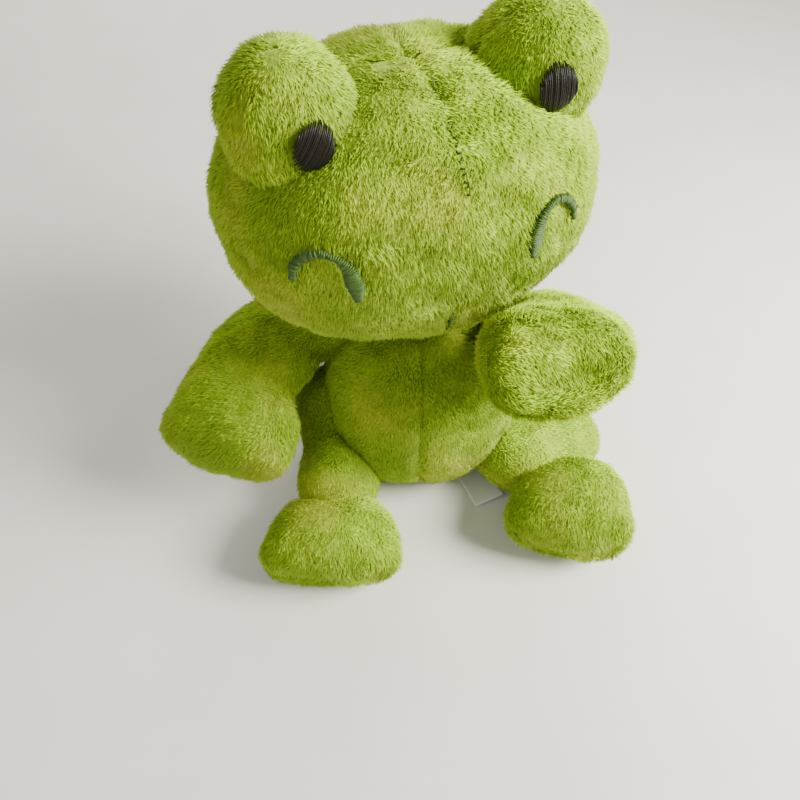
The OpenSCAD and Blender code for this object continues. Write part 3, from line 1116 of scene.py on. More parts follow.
@dataclass
class Stuffed:
    """How a stuffed form becomes pieces: skins with pile on them, and the filling within.

    Attributes:
        form: The form.
        pile: Its pile.
        lie: Direction in which its pile lies.
        clear_of: Forms that bury pile where they meet this one.
        trimmed: Patches of embroidery on it.
        spread: Direction from which the pile spreads out, added to lie by sideways distance.
    """

    form: Form
    pile: Pile
    lie: np.ndarray
    clear_of: Sequence[Form] = ()
    trimmed: Sequence[Patch] = ()
    spread: float = 0.0

    def skin(
        self,
        name: str,
        along: Pair,
        round_: Pair,
        rows: int,
        columns: int,
    ) -> Body:
        """One panel of skin with its pile.

        Args:
            name: Its name, which also picks its tufts.
            along: First and last t of the form's grid.
            round_: First and last angle of the form's grid, in degrees.
            rows: Rows of the grid.
            columns: Columns of the grid.

        Returns:
            The panel, as closed cloth with tufts.
        """
        seed = seed_of(name) % 100000
        points, normals = self.form.grid(along, round_, rows, columns, PILE_ROOM)
        inner = points - FABRIC * normals
        inner[..., 2] = np.maximum(inner[..., 2], FLOOR_GAP + FABRIC * (points[..., 2] > FLOOR_GAP))
        middle = (self.form.start + self.form.end) / 2
        lie = self.lie + self.spread * unit(points - middle)
        shade = 0.45 + 0.2 * waves(points, 0.01, seed)
        cloth = sheet_body(points, inner, normals, np.clip(shade, 0, 1))
        tufts = self.pile.body(points, normals, lie, seed, self.clear_of, self.trimmed)
        return cloth.plus(tufts)

    def filling(self, inset: float = 0.0034) -> Body:
        """The filling: the whole form drawn in, with a lumpy matted surface."""
        points, normals = self.form.grid((0, 1), (0, 360), 56, 72, inset, True)
        lumps = 0.0004 * waves(points, 0.009, 5) + 0.0003 * waves(points, 0.004, 6)
        points = points + (lumps - 0.0004)[..., None] * normals
        points[..., 2] = np.maximum(points[..., 2], min(inset, 0.002))
        points[:, -1] = points[:, 0]
        points[0], points[-1] = points[0].mean(axis=0), points[-1].mean(axis=0)
        return closed_body(points, normals, 1.0, 0.5)


def gathers(
    centre: np.ndarray, axis: np.ndarray, radius: float,
    front: float, rear: float, folds: int, seed: int,
) -> Body:
    """A gathered seam: a short band of a ball, with folds that run across it.

    Its outer face is the ball's own plus height cos(folds a + wander), where wander is two slow
    waves of the angle a. Both faces and both rims are one closed ring of cloth.

    Args:
        centre: Middle of the ball.
        axis: Direction of the band's own axis.
        radius: Radius of the ball.
        front: First place along the axis.
        rear: Last place along the axis.
        folds: How many folds there are.
        seed: Picks how uneven they are.

    Returns:
        The band.
    """
    a = np.linspace(0, 2 * math.pi, 6 * folds + 1)[None, :]
    profile = np.linspace(0, 1, 12)[:, None]
    axis = unit(axis)
    other = unit(np.cross(axis, np.array([0.3, 0.2, 0.9])))
    third = np.cross(axis, other)
    s = front + (rear - front) * profile
    ring = np.sqrt(np.maximum(radius**2 - s**2, (radius * 0.3) ** 2))
    wander = 0.5 * np.sin(3 * a + seed) + 0.4 * np.sin(5 * a + 2 * seed)
    cloth, height = 0.0012, 0.0005
    fold = height * np.cos(folds * a + wander)

    def at(r: np.ndarray) -> np.ndarray:
        """Points of the ring at a radius for each place and angle."""
        flat = r[..., None] * (np.cos(a)[..., None] * other + np.sin(a)[..., None] * third)
        return centre + s[..., None] * axis + flat

    outer, inner = at(ring + fold), at(ring - cloth + fold)
    points = np.concatenate([outer, inner[::-1], outer[:1]])
    points[:, -1] = points[:, 0]
    middle = at(ring - cloth / 2).mean(axis=0)
    return closed_body(points, unit(points - middle[None]), 0.4, 0.4)


# ---- The frog's parts ----

DOWN = np.array([0.0, -0.15, -1.0])


@dataclass
class Torso:
    """The body: two belly panels, two back panels, the seat, and what fills it."""

    middle: Triple = (0.0, 0.00097, 0.0272)
    half: Triple = (0.034, 0.0315, 0.034)
    lean: float = 15.0
    neck: Triple = (-0.002, 0.015, 0.058)
    neck_radius: float = 0.011
    line: float = 0.012
    closing: float = 0.026
    pouch: Triple = (0.017, 0.016, 0.010)
    pouch_bed: float = 0.002
    pouch_sag: float = 0.003
    pellet: float = 0.0015

    def __post_init__(self) -> None:
        """Works out the body's form."""
        self.place = Place(np.array(self.middle), turn("x", -self.lean))
        sideways = Place(np.array(self.middle), turn("z", 90))
        eggs = [
            Egg(self.place, self.half, 2.1, 2.1),
            Egg(upright(self.neck), (self.neck_radius,) * 3),
        ]
        reach = np.array([self.line, 0, 0])
        seams = [
            Seam(upright(self.middle), 0.0011, 0.0013, 0.0005),
            Seam(sideways, 0.0010, 0.0013, 0.0003),
        ]
        middle = np.array(self.middle)
        self.form = Form(
            eggs, middle - reach, middle + reach, UP, 0.005, seams, 0.0005, 21
        )

    def build(self, dresser: Dresser, neighbours: Sequence[Form]) -> None:
        """Makes the body's pieces.

        Args:
            dresser: Makes and dresses objects.
            neighbours: Forms that cover parts of the body.
        """
        soft = Stuffed(self.form, Pile(length=0.0018), DOWN, neighbours, spread=0.55)
        for side, along in ((Side.RIGHT, (0, 0.5)), (Side.LEFT, (0.5, 1))):
            for node, turn_ in (("belly", (-90, 90)), ("back", (90, 270))):
                name = f"{node}_{side.word}"
                body = soft.skin(f"{name}_plush", along, turn_, 60, 100)
                dresser.piece(f"{name}_plush", body, "torso", Slot.PLUSH, [name], 0.8)
        dresser.piece(
            "torso_fibre", soft.filling(), "torso", Slot.FILLING, ["torso_stuffing"], 0.8
        )
        self.seat(dresser)
        self.stitches(dresser)
        self.pellets(dresser)

    def seat(self, dresser: Dresser) -> None:
        """The flat seat panel: a disc of plush inside the body's outline at the floor.

        Its rim is where the body's egg meets the plane z = 1 mm, drawn in by 1.5 mm.
        """
        rings, sides = 24, 96
        r = np.linspace(0, 1, rings)[:, None]
        a = np.linspace(0, 2 * math.pi, sides + 1)[None, :]
        ways = np.stack([np.cos(a), np.sin(a), np.zeros(a.shape)], -1)[0]
        origins = np.broadcast_to(np.array([0, 0, 0.001]), ways.shape)
        rim = self.form.cast(origins, ways) - origins
        rim = rim * (1 - 0.0015 / np.linalg.norm(rim, axis=-1, keepdims=True))
        flat = r[..., None] * rim[None]
        edge = np.sqrt(np.clip(1 - r**6, 0, 1))
        top = flat + UP * (0.0008 + 0.0007 * edge)[..., None]
        low = flat + UP * (0.0008 - 0.0006 * edge)[..., None]
        normals = np.broadcast_to(UP, top.shape)
        top, low = top.copy(), low.copy()
        top[:, -1], low[:, -1] = top[:, 0], low[:, 0]
        low[..., 2] += 0.00005 * (1 + waves(flat, 0.004, 9))
        body = sheet_body(top, low, normals, 0.5 + 0.2 * waves(flat, 0.006, 8), WHOLE_WINDOW)
        dresser.piece("seat_plush", body, "torso", Slot.PLUSH, ["seat_panel"], 0.3)

    def stitches(self, dresser: Dresser) -> None:
        """Ladder stitches that close the back seam: short slanting threads across it."""
        z = np.arange(-self.closing / 2, self.closing / 2, 0.003)
        heads = np.stack([np.full(len(z), -0.0028), z - 0.0004], 1)
        tails = np.stack([np.full(len(z), 0.0028), z + 0.0004], 1)
        behind = Place(np.array(self.middle), turn("z", 180))
        thread = Satin(self.form, behind, 0.0006, 0.0007, 0.0002).threads(heads, tails, 31)
        dresser.piece("closing_thread", thread, "torso", Slot.THREAD, ["closing_stitches"])

    def pellets(self, dresser: Dresser) -> None:
        """The pouch of woven cloth in the seat, and the beads that fill it."""
        centre = np.array([0, 0, self.pouch_bed + self.pouch[2] - self.pouch_sag])
        egg = Egg(upright(centre), self.pouch, 2.6, 2.2)
        form = Form(
            [egg], centre - [0.006, 0, 0], centre + [0.006, 0, 0], UP, 0.001,
            [Seam(Place(centre, turn("y", 90)), 0.0008, 0.001, 0.0006)], 0.0005, 41,
        )
        points, normals = form.grid((0, 1), (0, 360), 60, 90)
        points[:, -1] = points[:, 0]
        points[..., 2] = np.maximum(points[..., 2], self.pouch_bed + 0.0007)
        shade = np.full(points.shape[:2], 0.5)
        cloth = sheet_body(points, points - 0.0006 * normals, normals, shade, WHOLE_WINDOW)
        dresser.piece("pellet_pouch_cloth", cloth, "torso", Slot.POUCH, ["pellet_pouch"], 0.7)
        step = 2.02 * self.pellet
        rows = [np.arange(-c + step / 2, c, step) for c in self.pouch]
        grid = np.stack(np.meshgrid(*rows, indexing="ij"), -1).reshape(-1, 3)
        grid += np.random.default_rng(5).uniform(-0.0001, 0.0001, grid.shape)
        centres = grid + centre
        centres = centres[form.depth(centres) < -(self.pellet + 0.0011)]
        centres = centres[centres[:, 2] > self.pouch_bed + self.pellet + 0.0009]
        beads = ball_body(centres, self.pellet)
        dresser.piece("pellet_beads", beads, "torso", Slot.PELLET, ["pellet_fill"])


def ball_body(centres: np.ndarray, radius: float) -> Body:
    """Many small balls, each an icosahedron divided once, pushed out to the radius.

    Args:
        centres: Their middles.
        radius: Their radius.

    Returns:
        The balls.
    """
    g = (1 + math.sqrt(5)) / 2
    corner = np.array([
        [-1, g, 0], [1, g, 0], [-1, -g, 0], [1, -g, 0], [0, -1, g], [0, 1, g],
        [0, -1, -g], [0, 1, -g], [g, 0, -1], [g, 0, 1], [-g, 0, -1], [-g, 0, 1],
    ])
    face = np.array([
        [0, 11, 5], [0, 5, 1], [0, 1, 7], [0, 7, 10], [0, 10, 11], [1, 5, 9], [5, 11, 4],
        [11, 10, 2], [10, 7, 6], [7, 1, 8], [3, 9, 4], [3, 4, 2], [3, 2, 6], [3, 6, 8],
        [3, 8, 9], [4, 9, 5], [2, 4, 11], [6, 2, 10], [8, 6, 7], [9, 8, 1],
    ])
    a, b, c = (corner[face[:, i]] for i in range(3))
    ab, bc, ca = (a + b) / 2, (b + c) / 2, (c + a) / 2
    soup = np.concatenate([
        np.stack(three, 1) for three in ((a, ab, ca), (ab, b, bc), (ca, bc, c), (ab, bc, ca))
    ]).reshape(-1, 3)
    points, faces = np.unique(np.round(unit(soup), 9), axis=0, return_inverse=True)
    faces = faces.reshape(-1, 3)
    many, size = len(centres), len(points)
    all_points = (centres[:, None] + radius * points[None]).reshape(-1, 3)
    all_faces = (faces[None] + (np.arange(many) * size)[:, None, None]).reshape(-1, 3)
    shade = np.random.default_rng(6).uniform(0, 1, many)
    columns = int(math.sqrt(many)) + 1
    x, y = np.arange(many) % columns, np.arange(many) // columns
    u = (x[:, None] + 0.5 + 0.4 * points[None, :, 0]) / columns
    v = (y[:, None] + 0.5 + 0.4 * points[None, :, 2]) / columns
    place = np.stack([u, v], -1).reshape(-1, 2)
    tips, shades = np.ones(many * size), np.repeat(shade, size)
    return Body(all_points, all_faces, tips, shades, place[all_faces])


@dataclass
class Neck:
    """The ball of filling that the head turns on, and the gathered seam round it."""

    middle: Triple = (-0.002, 0.015, 0.058)
    radius: float = 0.009
    band: float = 0.0112

    def build(self, dresser: Dresser) -> None:
        """Makes the neck's pieces."""
        centre = np.array(self.middle)
        egg = Egg(upright(centre), (self.radius,) * 3)
        reach = np.array([0, 0, 0.002])
        form = Form([egg], centre - reach, centre + reach, np.array([1.0, 0, 0]), 0.001)
        soft = Stuffed(form, Pile(), DOWN)
        dresser.piece(
            "neck_fibre", soft.filling(0.0), "neck", Slot.FILLING, ["neck_stuffing"], 0.8
        )
        band = gathers(centre, UP, self.band, -0.004, 0.004, 22, 3)
        dresser.piece("neck_gathers", band, "neck_seam", Slot.PLUSH, ["neck_band"], 0.4)


@dataclass
class Head:
    """The head: one face panel with darts, two back panels, and its filling."""

    middle: Triple = (-0.0048, 0.020, 0.0963)
    half: Triple = (0.0530, 0.042, 0.0377)
    yaw: float = 21.0
    line: float = 0.018
    forehead: Pair = (0.0260, 0.060)
    chin: Pair = (-0.034, -0.009)
    chin_x: float = -0.0028

    def __post_init__(self) -> None:
        """Works out the head's form."""
        self.place = Place(np.array(self.middle), turn("z", self.yaw))
        reach = np.array([self.line, 0, 0])
        seams = [
            Seam(self.place.moved((0, 0, 0), turn("z", 90)), 0.0009, 0.0013, 0.0003),
            Seam(
                self.place.moved((0.0008, 0, 0)), 0.0016, 0.0015, 0.0006, self.forehead, 0.009, True
            ),
            Seam(
                self.place.moved((self.chin_x, 0, 0)),
                0.0014, 0.0010, 0.0006, self.chin, 0.004, True,
            ),
            Seam(self.place.moved((0, 0, 0)), 0.0010, 0.0013, 0.0004, (-0.05, 0.05), 0.001),
        ]
        self.form = Form(
            [Egg(self.place, self.half, 2.15, 2.15)],
            self.place.out(-reach),
            self.place.out(reach),
            UP,
            0.004,
            seams[:3],
            0.0007,
            51,
        )
        self.back_form = Form(
            self.form.eggs, self.form.start, self.form.end, self.form.up, 0.004,
            [seams[0], seams[3]], 0.0007, 51,
        )

    def build(
        self, dresser: Dresser, neighbours: Sequence[Form], trimmed: Sequence[Patch]
    ) -> None:
        """Makes the head's pieces.

        Args:
            dresser: Makes and dresses objects.
            neighbours: Forms that cover parts of the head.
            trimmed: Patches of embroidery on the face.
        """
        lie = self.place.turned(np.array([0.0, -0.1, -1.0]))
        face = Stuffed(self.form, Pile(), lie, neighbours, trimmed, 0.5)
        body = face.skin("face_plush", (0, 1), (-90, 90), 150, 120)
        dresser.piece("face_plush", body, "head", Slot.PLUSH, ["face_panel"], 0.9)
        back = Stuffed(self.back_form, Pile(), lie, neighbours, (), 0.3)
        for side, along in ((Side.RIGHT, (0, 0.5)), (Side.LEFT, (0.5, 1))):
            body = back.skin(f"head_back_{side.word}_plush", along, (90, 270), 80, 120)
            dresser.piece(
                f"head_back_{side.word}_plush", body, "head", Slot.PLUSH,
                [f"head_back_{side.word}"], 0.9,
            )
        dresser.piece("head_fibre", face.filling(), "head", Slot.FILLING, ["head_stuffing"], 0.9)
        self.darts(dresser)

    def darts(self, dresser: Dresser) -> None:
        """The thread that shows in the two darts: short stitches end to end in each groove."""
        for name, x, low, high, rise in (
            ("forehead_dart", 0.0008, 0.0215, 0.0368, -0.0023),
            ("chin_dart", self.chin_x, -0.027, -0.010, -0.0013),
        ):
            z = np.arange(low, high, 0.0022)
            heads = np.stack([np.full(len(z), x), z], 1)
            tails = np.stack([np.full(len(z), x), z + 0.0016], 1)
            thread = Satin(self.form, self.place, 0.0005, rise, 0.0001).threads(heads, tails, 33)
            dresser.piece(f"{name}_thread", thread, "head", Slot.THREAD, [f"{name}_seam"])


@dataclass
class EyeMound:
    """One eye mound: a front panel with its embroidered pupil, a back panel and filling."""

    side: Side
    head: Head
    offset: Triple = (0.031, -0.006, 0.030)
    half: Triple = (0.0152, 0.0158, 0.0163)
    pupil_half: Pair = (0.0043, 0.0054)

    def __post_init__(self) -> None:
        """Works out the mound's form and the pupil's ground."""
        x, y, z = self.offset
        right = self.side is Side.RIGHT
        inward = 0.0005 if right else 0.0011
        self.place = self.head.place.moved((self.side.value * (x - inward), y, z))
        half = (self.half[0] + 2 * inward, *self.half[1:])
        self.pupil = (0.0015, 0.0010) if right else (-0.0025, 0.0024)
        self.tilt = -34.0 if right else 4.0
        reach = self.place.turned(np.array([0.004, 0, 0]))
        crest = Seam(self.place.moved((0, 0.001, 0), turn("z", 90)), 0.0015, 0.0011, 0.0006)
        self.form = Form(
            [Egg(self.place, half, 2.1, 2.1)],
            self.place.origin - reach,
            self.place.origin + reach,
            UP,
            0.002,
            [crest],
            0.0006,
            61 if right else 62,
        )

    def build(self, dresser: Dresser) -> None:
        """Makes the mound's pieces."""
        word = self.side.word
        patch = Patch(self.place, self.pupil, (max(self.pupil_half),) * 2, -0.0002)
        lie = self.head.place.turned(np.array([0.0, -0.2, -1.0]))
        soft = Stuffed(self.form, Pile(), lie, [self.head.form], [patch], 0.9)
        for node, turn_ in (("front", (-90, 90)), ("back", (90, 270))):
            name = f"{word}_eye_{node}"
            body = soft.skin(f"{name}_plush", (0, 1), turn_, 70, 60)
            dresser.piece(f"{name}_plush", body, "head", Slot.PLUSH, [name], 0.8)
        dresser.piece(
            f"{word}_eye_fibre", soft.filling(), "head", Slot.FILLING, [f"{word}_eye_stuffing"], 0.8
        )
        thread = Satin(self.form, self.place, rise=0.0012).oval(
            self.pupil, self.pupil_half, self.tilt
        )
        dresser.piece(f"{word}_pupil_thread", thread, "head", Slot.PUPIL, [f"{word}_pupil"])


@dataclass
class CheekMark:
    """The embroidered arch on one cheek, with a thick drop at its inner end."""

    side: Side
    head: Head
    centre: Pair = (0.0, 0.0)
    line: tuple[Pair, ...] = (
        (0.0063, -0.0050), (0.0056, -0.0016), (0.0030, 0.0012), (0.0, 0.0022),
        (-0.0032, 0.0016), (-0.0054, -0.0010), (-0.0062, -0.0045), (-0.0066, -0.0088),
    )
    widths: tuple[float, ...] = (0.0014, 0.0018, 0.0018, 0.0016, 0.0014, 0.0030, 0.0044, 0.0022)

    def __post_init__(self) -> None:
        """Sets the arch's place on its own cheek."""
        self.centre = (-0.0330, 0.0106) if self.side is Side.RIGHT else (0.0235, 0.0124)

    def points(self) -> np.ndarray:
        """The arch's line in the head's local x and z."""
        return np.array(self.line) * [self.side.value, 1] + np.array(self.centre)

    def trimmed(self) -> list[Patch]:
        """Small round patches along the arch, where the pile is cut away."""
        line = self.points()
        knots = np.linspace(0, len(line) - 1, 29)
        x = np.interp(knots, np.arange(len(line)), line[:, 0])
        z = np.interp(knots, np.arange(len(line)), line[:, 1])
        half = np.interp(knots, np.arange(len(line)), self.widths) / 2
        return [
            Patch(self.head.place, (float(a), float(b)), (float(h), float(h)), 0.0001)
            for a, b, h in zip(x, z, half)
        ]

    def build(self, dresser: Dresser) -> None:
        """Makes the arch."""
        thread = Satin(self.head.form, self.head.place, rise=0.0010, ragged=0.00012).band(
            self.points(), np.array(self.widths)
        )
        name = f"{self.side.word}_cheek_mark"
        dresser.piece(f"{name}_thread", thread, "head", Slot.THREAD, [name])


@dataclass(frozen=True)
class ArmPose:
    """How one arm is set and shaped, as the two differ.

    Attributes:
        tip: Degrees that it points down.
        swing: Degrees that it swings towards the frog's left.
        paw_turn: Degrees that the paw turns against the sleeve.
        out: Distance that the sleeve bulges outward.
        half: Half the paw's width, length and thickness.
        shift: Local offset of the paw from the end of the sleeve.
    """

    tip: float
    swing: float
    paw_turn: float
    out: float
    half: Triple
    shift: Triple


ARM_POSES = {
    Side.RIGHT: ArmPose(
        13.0, -44.0, 22.0, 0.0115, (0.0218, 0.0160, 0.0150), (0.0012, 0.0024, 0.0008)
    ),
    Side.LEFT: ArmPose(
        -33.0, 12.0, 0.0, 0.0080, (0.0194, 0.0162, 0.0152), (-0.0042, 0.0014, 0.0026)
    ),
}


@dataclass
class Arm:
    """One arm: a sleeve that flares into a paw, sewn of a top and an underside."""

    side: Side
    shoulder: Triple = (0.027, 0.013, 0.050)
    length: float = 0.050
    sleeve: Triple = (0.0185, 0.0333, 0.0125)
    root: float = 0.0105

    def __post_init__(self) -> None:
        """Works out the arm's form."""
        pose = ARM_POSES[self.side]
        sign = self.side.value
        x, y, z = self.shoulder
        axes = turn("z", pose.swing) @ turn("x", pose.tip)
        self.place = Place(np.array([sign * x, y, z]), axes)
        middle = (pose.shift[0], pose.shift[1] - self.length, pose.shift[2])
        paw = self.place.moved(middle, turn("z", pose.paw_turn))
        eggs = [
            Egg(self.place.moved((sign * pose.out, -self.length / 2, 0)), self.sleeve),
            Egg(paw, pose.half, 2.7, 2.2, 0.12),
            Egg(self.place, (self.root,) * 3),
        ]
        start = self.place.out(np.array([sign * 0.002, -0.004, 0]))
        end = self.place.out(np.array([middle[0], middle[1] - 0.003, middle[2]]))
        sides = Seam(self.place.moved((0, 0, 0), turn("y", 90)), 0.0011, 0.0014, 0.0004)
        self.form = Form(
            eggs, start, end, self.place.turned(UP), 0.0022, [sides], 0.0006,
            71 if self.side is Side.RIGHT else 72,
        )

    def build(self, dresser: Dresser, neighbours: Sequence[Form]) -> None:
        """Makes the arm's pieces.

        Args:
            dresser: Makes and dresses objects.
            neighbours: Forms that bury parts of the arm.
        """
        word = self.side.word
        lie = self.place.turned(np.array([0.0, -1.0, -0.1]))
        soft = Stuffed(self.form, Pile(length=0.0023), lie, neighbours)
        for node, turn_ in (("top", (0, 180)), ("underside", (180, 360))):
            name = f"{word}_arm_{node}"
            body = soft.skin(f"{name}_plush", (0, 1), turn_, 130, 80)
            dresser.piece(f"{name}_plush", body, f"{word}_arm", Slot.PLUSH, [name], 0.8)
        dresser.piece(
            f"{word}_arm_fibre", soft.filling(), f"{word}_arm", Slot.FILLING,
            [f"{word}_arm_stuffing"], 0.8,
        )
        band = gathers(
            self.place.origin, self.place.turned(np.array([0, 1.0, 0])), 0.008, -0.0006, 0.0034,
            16, 5,
        )
        dresser.piece(
            f"{word}_shoulder_gathers", band, f"{word}_shoulder", Slot.PLUSH,
            [f"{word}_shoulder_band"], 0.4,
        )


@dataclass(frozen=True)
class LegPose:
    """How one leg is set and shaped, as the two differ.

    Attributes:
        yaw: Degrees that the thigh swings towards the frog's left.
        foot_turn: Degrees that the foot turns against the thigh.
        shift: Sideways offset of the foot.
        half: Half the foot's width, length and height.
        rump: Middle of the haunch, in the frog's frame.
        haunch: Half its width, depth and height.
    """

    yaw: float
    foot_turn: float
    shift: float
    half: Triple
    rump: Triple
    haunch: Triple


LEG_POSES = {
    Side.RIGHT: LegPose(
        -9.0, 7.0, 0.0009, (0.0224, 0.0146, 0.0137),
        (-0.0306, -0.0020, 0.0195), (0.0148, 0.0160, 0.0195),
    ),
    Side.LEFT: LegPose(
        64.0, -76.0, 0.0066, (0.0198, 0.0176, 0.0150),
        (0.0480, -0.0120, 0.0160), (0.0160, 0.0130, 0.0150),
    ),
}


@dataclass
class Leg:
    """One leg: a thigh, and a flared foot that turns at the ankle crease."""

    side: Side
    hip: Triple = (0.025, -0.012, 0.0145)
    thigh_length: float = 0.023
    thigh: Triple = (0.0145, 0.01955, 0.0145)
    foot_reach: float = 0.0138

    def __post_init__(self) -> None:
        """Works out the thigh's form and the foot's form."""
        right = self.side is Side.RIGHT
        pose = LEG_POSES[self.side]
        x, y, z = self.hip
        self.place = Place(np.array([self.side.value * x, y, z]), turn("z", pose.yaw))
        self.ankle = self.place.moved((0, -self.thigh_length, 0), turn("z", pose.foot_turn))
        thigh_seam = Seam(self.place.moved((0, 0, 0), turn("y", 90)), 0.0009, 0.0012, 0.0004)
        middle = self.place.moved((0, -0.6 * self.thigh_length, 0))
        self.thigh_form = Form(
            [Egg(middle, self.thigh, 2.2, 2.0), Egg(upright(pose.rump), pose.haunch)],
            self.place.out(np.array([0, -0.006, 0])),
            self.place.out(np.array([0, -0.022, 0])),
            UP, 0.003, [thigh_seam], 0.0004, 81 if right else 82,
        )
        rise = pose.half[2] - self.hip[2]
        foot = self.ankle.moved((pose.shift, -self.foot_reach, rise))
        foot_seam = Seam(foot.moved((0, 0, 0), turn("y", 90)), 0.0013, 0.0013, 0.0005)
        self.foot_form = Form(
            [Egg(foot, pose.half, 2.8, 2.3, 0.16)],
            foot.out(np.array([0, 0.005, 0])), foot.out(np.array([0, -0.006, 0])),
            UP, 0.004, [foot_seam], 0.0006, 91 if right else 92,
        )

    def build(self, dresser: Dresser, neighbours: Sequence[Form]) -> None:
        """Makes the leg's pieces.

        Args:
            dresser: Makes and dresses objects.
            neighbours: Forms that bury parts of the thigh.
        """
        word = self.side.word
        parts = (
            ("thigh", self.thigh_form, self.place, f"{word}_leg", [*neighbours, self.foot_form],
             (("top", (0, 180)), ("underside", (180, 360))), Pile(length=0.0017)),
            ("foot", self.foot_form, self.ankle, f"{word}_foot", [self.thigh_form],
             (("top", (0, 180)), ("sole", (180, 360))), Pile(length=0.0022)),
        )
        for part, form, place, rides, covers, panels, pile in parts:
            lie = place.turned(np.array([0.0, -1.0, -0.15]))
            soft = Stuffed(form, pile, lie, covers, (), 0.5 if part == "foot" else 0.1)
            for node, turn_ in panels:
                name = f"{word}_{part}_{node}"
                body = soft.skin(f"{name}_plush", (0, 1), turn_, 80, 80)
                dresser.piece(f"{name}_plush", body, rides, Slot.PLUSH, [name], 0.8)
            dresser.piece(
                f"{word}_{part}_fibre", soft.filling(), rides, Slot.FILLING,
                [f"{word}_{part}_stuffing"], 0.8,
            )
        band = gathers(
            self.place.origin, self.place.turned(np.array([0, 1.0, 0])), 0.0085, -0.0006, 0.0036,
            16, 7,
        )
        dresser.piece(
            f"{word}_hip_gathers", band, f"{word}_hip", Slot.PLUSH, [f"{word}_hip_band"], 0.4
        )


@dataclass
class CareLabel:
    """The folded satin label that is sewn in under the body."""

    root: Triple = (0.0180, -0.0125, 0.0004)
    yaw: float = 24.0
    width: float = 0.011
    length: float = 0.018
    thick: float = 0.0003

    def build(self, dresser: Dresser) -> None:
        """Makes the label: a strip carried along a narrow U, with blank leaves.

        Its height over the length is the half-opening of the fold, which widens towards the tip,
        plus a slow twist across the width.
        """
        s = np.linspace(-1, 1, 81)[:, None]
        x = np.linspace(-0.5, 0.5, 17)[None, :] * self.width
        run = self.length * (1 - np.abs(s) ** 1.0)
        tip = 1 - np.abs(s)
        fold = 0.00035 * np.sign(s) * np.sqrt(np.clip(1 - tip**14, 0, 1))
        lift = 0.00065 + 0.0010 * tip**2 + 0.0009 * tip**3 * (x / self.width + 0.5)
        z = lift + fold * (1 + 0.6 * tip)
        y = -run + 0 * x
        local = np.stack(np.broadcast_arrays(x + 0 * s, y, z), -1)
        du = np.gradient(local, axis=0)
        dv = np.gradient(local, axis=1)
        normals = unit(np.cross(du, dv))
        place = Place(np.array(self.root) * [1, 1, 0], turn("z", self.yaw))
        outer = place.out(local + 0.5 * self.thick * normals)
        inner = place.out(local - 0.5 * self.thick * normals)
        shade = np.full(outer.shape[:2], 0.5)
        body = sheet_body(outer, inner, place.turned(normals), shade, WHOLE_WINDOW)
        label = dresser.piece("care_label_satin", body, "label", Slot.SATIN, ["care_label"])


# ---- The studio ----


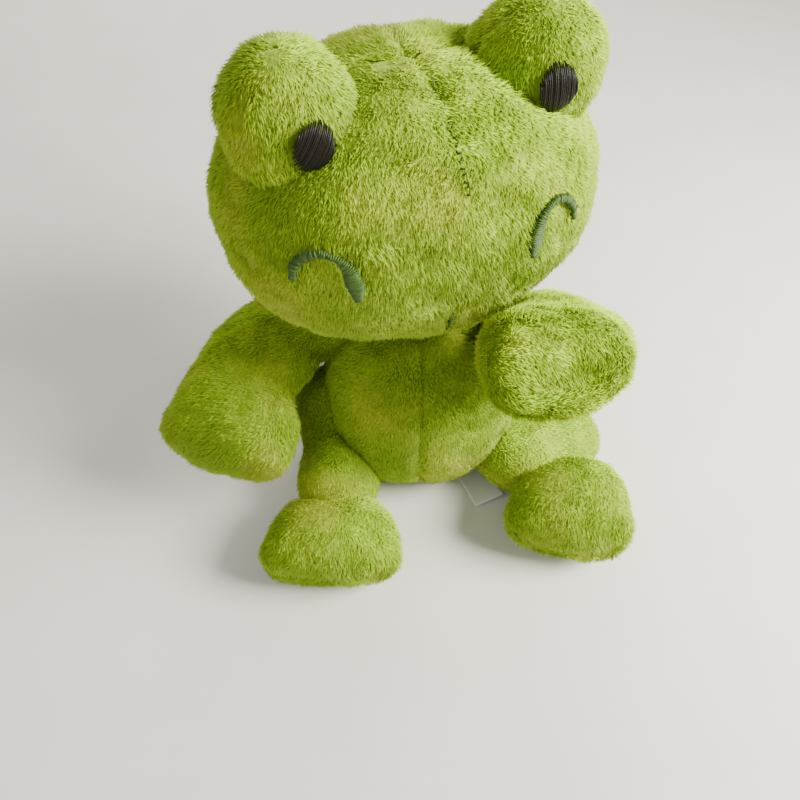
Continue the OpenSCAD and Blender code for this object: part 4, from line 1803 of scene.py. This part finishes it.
@dataclass
class Studio:
    """A pale floor, soft lights and the camera that looks down on the frog."""

    eye: Triple = (-0.0066, -0.1225, 0.198)
    pitch: float = 55.0
    lens: float = 27.0
    floor: float = 3.0

    def build(self) -> None:
        """Makes the floor, the lights and the camera."""
        mesh = bpy.data.meshes.new("pale_floor")
        n = 40
        u, v = np.meshgrid(np.linspace(-1, 1, n), np.linspace(-1, 1, n))
        points = np.stack([u * self.floor, v * self.floor, np.zeros(u.shape)], -1).reshape(-1, 3)
        mesh.from_pydata(points.tolist(), [], grid_faces(n, n)[:, ::-1].tolist())
        mesh.materials.append(FloorFinish().build())
        floor = bpy.data.objects.new("pale_floor", mesh)
        bpy.context.scene.collection.objects.link(floor)
        self.light("key_light", (0.37, -0.08, 0.33), 0.22, 8.2, (1.0, 0.96, 0.84))
        self.light("fill_light", (-0.50, -0.45, 0.60), 0.9, 2.4, (1.0, 0.98, 0.94))
        self.light("back_light", (-0.15, 0.60, 0.40), 0.6, 5.0, (1.0, 0.95, 0.84))
        world = bpy.data.worlds.new("soft_sky")
        world.use_nodes = True
        world.node_tree.nodes["Background"].inputs["Color"].default_value = (1.0, 0.98, 0.95, 1)
        world.node_tree.nodes["Background"].inputs["Strength"].default_value = 0.30
        bpy.context.scene.world = world
        self.camera()

    def light(
        self, name: str, where: Triple, size: float, power: float,
        colour: Triple,
    ) -> None:
        """One square soft light that points at the frog's middle.

        Args:
            name: Its name.
            where: Its place.
            size: Length of its side.
            power: Its power in watts.
            colour: Its colour.
        """
        data = bpy.data.lights.new(name, "AREA")
        data.size, data.energy, data.color = size, power, colour
        lamp = bpy.data.objects.new(name, data)
        bpy.context.scene.collection.objects.link(lamp)
        away = unit(np.array(where) - np.array([0, 0, 0.06]))
        side = unit(np.cross([0, 0, 1.0], away))
        axes = np.stack([side, np.cross(away, side), away], 1)
        rows = [[*axes[i], where[i]] for i in range(3)]
        lamp.matrix_world = Matrix([*rows, [0, 0, 0, 1]])

    def camera(self) -> None:
        """The camera, level from side to side and pitched down."""
        data = bpy.data.cameras.new("viewer")
        data.lens, data.sensor_width, data.clip_start = self.lens, 36.0, 0.01
        eye = bpy.data.objects.new("viewer", data)
        bpy.context.scene.collection.objects.link(eye)
        eye.location = self.eye
        eye.rotation_euler = (math.radians(90 - self.pitch), 0, 0)
        bpy.context.scene.camera = eye


def main() -> None:
    """Builds the frog part by part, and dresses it."""
    logging.basicConfig(level=logging.INFO, format="%(message)s")
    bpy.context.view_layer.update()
    dresser = Dresser()
    torso, head = Torso(), Head()
    mounds = [EyeMound(side, head) for side in Side]
    marks = [CheekMark(side, head) for side in Side]
    arms = [Arm(side) for side in Side]
    legs = [Leg(side) for side in Side]
    limbs = [arm.form for arm in arms] + [leg.thigh_form for leg in legs]
    torso.build(dresser, [head.form, *limbs])
    Neck().build(dresser)
    head.build(
        dresser, [torso.form, *(m.form for m in mounds)], [p for m in marks for p in m.trimmed()]
    )
    for part in [*mounds, *marks]:
        part.build(dresser)
    for arm in arms:
        arm.build(dresser, [torso.form, head.form])
    for leg in legs:
        leg.build(dresser, [torso.form])
    CareLabel().build(dresser)
    Studio().build()


if __name__ == "__main__":
    main()
